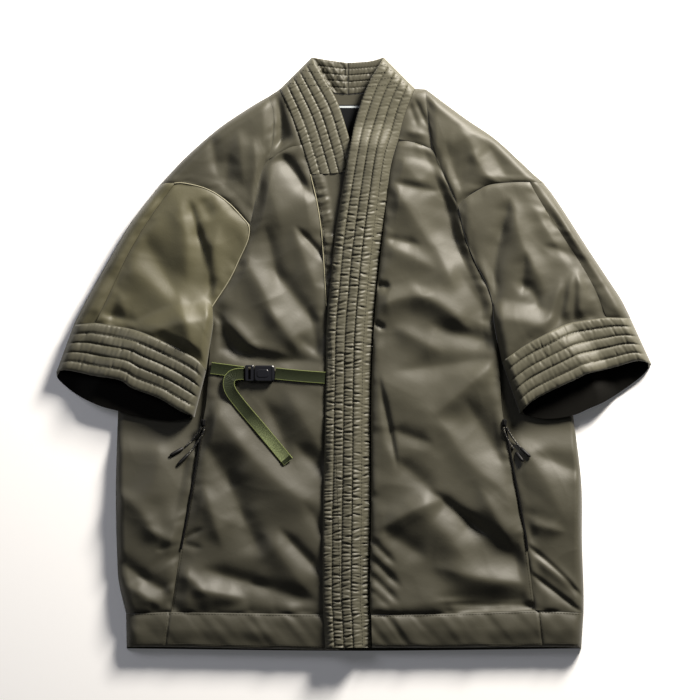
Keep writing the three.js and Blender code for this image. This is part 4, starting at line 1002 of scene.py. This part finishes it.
# Buckle
# A side-release buckle in black moulded acetal: a ladder bar and prongs, and the shell they
# click into. It stays shut.
plastic, tree, shader = material("acetal_black", "#15161b", Roughness=0.33)
grain = node(tree, "ShaderNodeTexNoise", {"Scale": 2500.0})
bump = node(tree, "ShaderNodeBump", {"Height": grain.outputs["Fac"], "Strength": 0.1, "Distance": 0.0001})
tree.links.new(bump.outputs["Normal"], shader.inputs["Normal"])


def rounded(w, d, r, n=5):
    """A rectangle with rounded corners round the origin."""
    out = []
    for sx, sy, start in ((1, 1, 0), (-1, 1, 90), (-1, -1, 180), (1, -1, 270)):
        for k in range(n + 1):
            a = math.radians(start + 90 * k / n)
            out.append((sx * (w / 2 - r) + r * math.cos(a), sy * (d / 2 - r) + r * math.sin(a)))
    return np.array(out)


def moulded(outline, z0, z1, bevel, hole=None):
    """Rings of points of a prism with a chamfered rim, cut by one hole of as many points."""
    middle = outline.mean(0)
    inner = outline * 0 + middle if hole is None else hole
    small = outline - np.sign(outline - middle) * bevel
    levels = ((inner, z0), (outline, z0), (outline, z1 - bevel), (small, z1), (inner, z1))
    return np.stack([np.column_stack([ring, np.full(len(ring), z)]) for ring, z in levels])


def solid(name, parts, paint, node_name=None):
    """One mesh from rings of points that close on themselves, each [loop, point, xyz] in mm."""
    points, faces = [], []
    for loops, open_hole in parts:
        start = len(points)
        rows, count = loops.shape[:2]
        points.extend(map(tuple, loops.reshape(-1, 3) * MM))
        for j in range(rows if open_hole else rows - 1):
            here, over = start + j * count, start + (j + 1) % rows * count
            for i in range(count):
                ahead = (i + 1) % count
                faces.append((here + i, here + ahead, over + ahead, over + i))
    mesh = bpy.data.meshes.new(name)
    mesh.from_pydata(points, [], faces)
    mesh.validate()
    mesh.shade_smooth()
    mesh.set_sharp_from_angle(angle=math.radians(35))
    mesh.materials.append(paint)
    return declared(placed(name, mesh), node_name)


def shifted(loops, x, y):
    """Rings of points moved in plan."""
    return loops + np.array([x, y, 0])


MALE = (-133.8, -24.5)
FEMALE = (-114.8, -24.8)
rest = max(top(covers, x, y) for x in np.arange(-140, -101, 4) for y in (-34, -29, -24.6, -20, -15)) + 0.3
frame_bar = moulded(rounded(11.4, 20.5, 2), rest, rest + 6.3, 0.7, rounded(3.2, 16, 0.8))
ladder = moulded(rounded(1.6, 15.6, 0.5), rest + 1, rest + 5.6, 0.5)
solid("buckle_male_moulding", [(shifted(frame_bar, *MALE), True), (shifted(ladder, MALE[0] + 2.6, MALE[1]), False)],
      plastic, "buckle_male")
shell = moulded(rounded(26, 20.5, 3.5), rest, rest + 7.4, 1.1)
ridge = moulded(rounded(15, 10, 3), rest + 7.2, rest + 8, 0.5)
lip = moulded(rounded(2, 17.5, 0.6), rest + 7.2, rest + 7.9, 0.4)
solid("buckle_female_moulding",
      [(shifted(loops, FEMALE[0] + dx, FEMALE[1]), False) for loops, dx in ((shell, 0), (ridge, -2), (lip, 10.4))],
      plastic, "buckle_female")

# Pocket zips and pulls
# Black coil zips hidden in the pocket seams, with a slider at the top and two short cords whose
# ends are moulded in black rubber.
coil = material("zip_coil", "#090909", Roughness=0.7, Specular_IOR_Level=0.15)[0]
rubber = material("moulded_rubber", "#0b0b0c", Roughness=0.55, Specular_IOR_Level=0.3)[0]
braid, tree, shader = material("cord_braid", Roughness=0.7)
place = node(tree, "ShaderNodeTexCoord")
flecks = node(tree, "ShaderNodeTexVoronoi", {"Vector": place.outputs["Object"], "Scale": 620.0})
mark = node(tree, "ShaderNodeMapRange", {"Value": flecks.outputs["Distance"], "From Min": 0.22, "From Max": 0.30,
                                         "To Min": 1.0, "To Max": 0.0})
tree.links.new(mixed(tree, mark.outputs["Result"], "#0b0b0c", "#9a9788"), shader.inputs["Base Color"])
ZIP_WIDE = 3.0
TAPE_THICK = 0.9
TOOTH = 1.25
CORD_RADIUS = 1.25
END_RADIUS = 2.1
END_PROFILE = ((0.03, 0.1), (0.03, 1.5), (0.08, 1.95), (0.2, 2.1), (0.8, 2.0), (0.93, 1.4), (0.99, 0.5), (1, 0.05))
PULLS = {
    "right": (((-193.5, -88), (-210, -187), (-221.5, -250)), (-193, -88), {
        "a": [(-195, -93.5), (-198, -99), (-203, -106), (-212, -115), (-218, -120), (-236, -130)],
        "b": [(-191.5, -94), (-193, -101), (-199, -111), (-206, -121), (-212, -128), (-226, -142)]}),
    "left": (((193, -90), (204, -148), (219, -229), (222, -250)), (192.5, -88), {
        "a": [(195, -93.5), (199, -101), (203, -107), (209, -115), (213, -120), (226, -132)],
        "b": [(191.5, -94), (194, -104), (200, -115), (204, -121), (207, -125), (217, -138)]}),
}
for side, (zip_way, slider, legs) in PULLS.items():
    tape, way = ribbon(f"zip_{side}_tape", zip_way, ZIP_WIDE, TAPE_THICK, 0.0, coil,
                       [(-1, -0.3), (-0.8, 0), (0.8, 0), (1, -0.3)], covers)
    declared(tape, f"zip_{side}")
    gaps = np.concatenate([[0], np.cumsum(np.hypot(*np.diff(way[:, :2], axis=0).T))])
    teeth = []
    for i, s in enumerate(np.arange(1, gaps[-1] - 1, TOOTH / 2)):
        p = np.array([np.interp(s, gaps, way[:, k]) for k in range(3)])
        q = np.array([np.interp(s + 1, gaps, way[:, k]) for k in range(3)])
        heading = math.atan2(q[1] - p[1], q[0] - p[0])
        tooth = moulded(rounded(0.55, 1.5, 0.2, 1), p[2] + TAPE_THICK, p[2] + 1.55, 0.15)
        turn = np.array([[math.cos(heading), math.sin(heading)], [-math.sin(heading), math.cos(heading)]])
        tooth[..., 1] += 0.35 * (-1) ** i
        tooth[..., :2] = tooth[..., :2] @ turn
        teeth.append((shifted(tooth, p[0], p[1]), False))
    solid(f"zip_{side}_teeth", teeth, coil)
    seat = max(top(covers, slider[0] + dx, slider[1] + dy) for dx in (-3, 0, 3) for dy in (-4, 0, 4)) + 1.2
    body_block = moulded(rounded(6, 9, 1.5), seat, seat + 2.2, 0.5)
    bridge = moulded(rounded(2.4, 7, 0.8), seat + 2, seat + 3.8, 0.6)
    solid(f"zip_slider_{side}_casting", [(shifted(body_block, *slider), False), (shifted(bridge, *slider), False)],
          coil, f"zip_slider_{side}")
    for leg, points in legs.items():
        spots = eased(np.array(points[:-1], float))[::2]
        heights = np.array([max(top(covers, x + dx, y + dy) for dx in (-1.5, 0, 1.5) for dy in (-1.5, 0, 1.5))
                            for x, y in spots]) + CORD_RADIUS + 0.2
        heights[:2] = np.maximum(heights[:2], seat + 2)
        heights = np.convolve(np.pad(heights, 1, "edge"), [0.25, 0.5, 0.25], "valid")
        curve = bpy.data.curves.new(f"pull_cord_{side}_{leg}_braid", "CURVE")
        curve.dimensions = "3D"
        curve.bevel_depth = CORD_RADIUS * MM
        curve.bevel_resolution = 3
        curve.use_fill_caps = True
        spline = curve.splines.new("POLY")
        spline.points.add(len(spots) - 1)
        for point, (x, y), z in zip(spline.points, spots, heights):
            point.co = (x * MM, y * MM, z * MM, 1)
        curve.materials.append(braid)
        cord = declared(placed(curve.name, curve), f"pull_cord_{side}_{leg}")
        start, tip = np.array(points[-2], float), np.array(points[-1], float)
        level = max(top(covers, *(start + k * (tip - start))) for k in (0, 0.25, 0.5, 0.75, 1)) + END_RADIUS + 0.3
        level = max(level, heights[-1])
        out = (tip - start) / np.hypot(*(tip - start))
        across = np.array([-out[1], out[0]])
        rings = []
        angles = np.linspace(0, 2 * np.pi, 16, endpoint=False)
        for f, r in END_PROFILE:
            c = start + f * (tip - start)
            z = heights[-1] + (level - heights[-1]) * smooth(f / 0.5)
            rings.append(np.column_stack([c + across * (r * np.cos(angles))[:, None], z + r * np.sin(angles)]))
        end_piece = solid(f"cord_end_{side}_{leg}_moulding", [(np.stack(rings), False)], rubber,
                          f"cord_end_{side}_{leg}")

# Neck label
# A plain woven label inside the back of the neck, with one pale stripe at its top.
LABEL_SIZE = (51, 43)
LABEL_AT = (-5.5, 297.5)
STRIPE_AT = 0.3163  # y in metres
STRIPE_HALF = 0.0012  # half its width in metres
tag, tree, shader = material("label_black", Roughness=0.8, Specular_IOR_Level=0.15)
place = node(tree, "ShaderNodeTexCoord")
split = node(tree, "ShaderNodeSeparateXYZ", {"Vector": place.outputs["Object"]})
away = node(tree, "ShaderNodeMath", {0: split.outputs["Y"], 1: STRIPE_AT}, operation="SUBTRACT")
away = node(tree, "ShaderNodeMath", {0: away.outputs[0]}, operation="ABSOLUTE")
stripe = node(tree, "ShaderNodeMath", {0: away.outputs[0], 1: STRIPE_HALF}, operation="LESS_THAN")
tree.links.new(mixed(tree, stripe.outputs[0], "#0b0c0e", "#a9b0b3"), shader.inputs["Base Color"])
patch = moulded(rounded(*LABEL_SIZE, 1), 5.3, 6.1, 0.2)
solid("label_weave", [(shifted(patch, *LABEL_AT), False)], tag, "label")

# Stitching
# Polyester thread in the grooves between channels and along the hem, the strip and the pockets.
thread = material("sewing_thread", "#33322a", Roughness=0.85, Specular_IOR_Level=0.15)[0]
STITCH = 2.6
PITCH = 3.9
THREAD = 0.32
cloths = tree_of([o.name for o in bpy.data.objects if o.name.endswith("_cloth") and "back" not in o.name]
                 + ["collar_back_right_cloth", "collar_back_left_cloth"])


def stitches(rows):
    """Boxes of thread along the given lines of x, y points, each set down on the cloth."""
    out = []
    for row in rows:
        total = length_of(row)
        for s in np.arange(PITCH, total - PITCH, PITCH):
            a, b = along(row, s / total), along(row, (s + STITCH) / total)
            heights = [top(cloths, *a), top(cloths, *b)]
            if min(heights) < 1 or abs(heights[0] - heights[1]) > 2.5:
                continue
            ahead = (b - a) / np.hypot(*(b - a))
            n = np.array([-ahead[1], ahead[0]]) * THREAD
            ring = []
            inset = 0.12 * (b - a)
            for p, z, r in ((a, heights[0], 0.3), (a + inset, heights[0], 1), (b - inset, heights[1], 1),
                            (b, heights[1], 0.3)):
                ring.append(np.array([[*(p + n * r), z + 0.05], [*p, z + 0.1 + 0.35 * r], [*(p - n * r), z + 0.05],
                                      [*p, z - 0.1]]))
            out.append((np.stack(ring), False))
    return out


def between_sides(sides, f, count=90):
    """The line at share f across a panel, from top to bottom."""
    v = np.linspace(0, 1, count)
    return plan(sides, np.full_like(v, f), v)


def across_sides(sides, f, count=60):
    """The line at share f down a panel, from left to right."""
    u = np.linspace(0, 1, count)
    return plan(sides, u, np.full_like(u, f))


rows = [between_sides(part, k / CHANNELS, 200) for part in (BAND, LAPEL) for k in range(1, CHANNELS)]
for cuff in cuff_fronts:
    rows += [across_sides(cuff, k / CHANNELS) for k in range(1, CHANNELS)]
for _, part in BEHIND:
    rows += [across_sides(part, k / CHANNELS, 20) for k in range(1, CHANNELS)]
for _, _, part in HEMS:
    rows += [across_sides(part, 0.05, 120), across_sides(part, 0.9, 120)]
for side, body in HALVES:
    inwards = 3 if side == "right" else -3
    rows.append(body["pocket"][body["pocket"][:, 1] < -85] + [inwards, 0])
rows.append(COLLAR["strip_seam"] + [3, 0])
rows += [np.linspace([k * 238, -332], [k * 243.5, -374], 12) for k in (-1, 1)]
solid("stitching_thread", stitches(rows), thread)
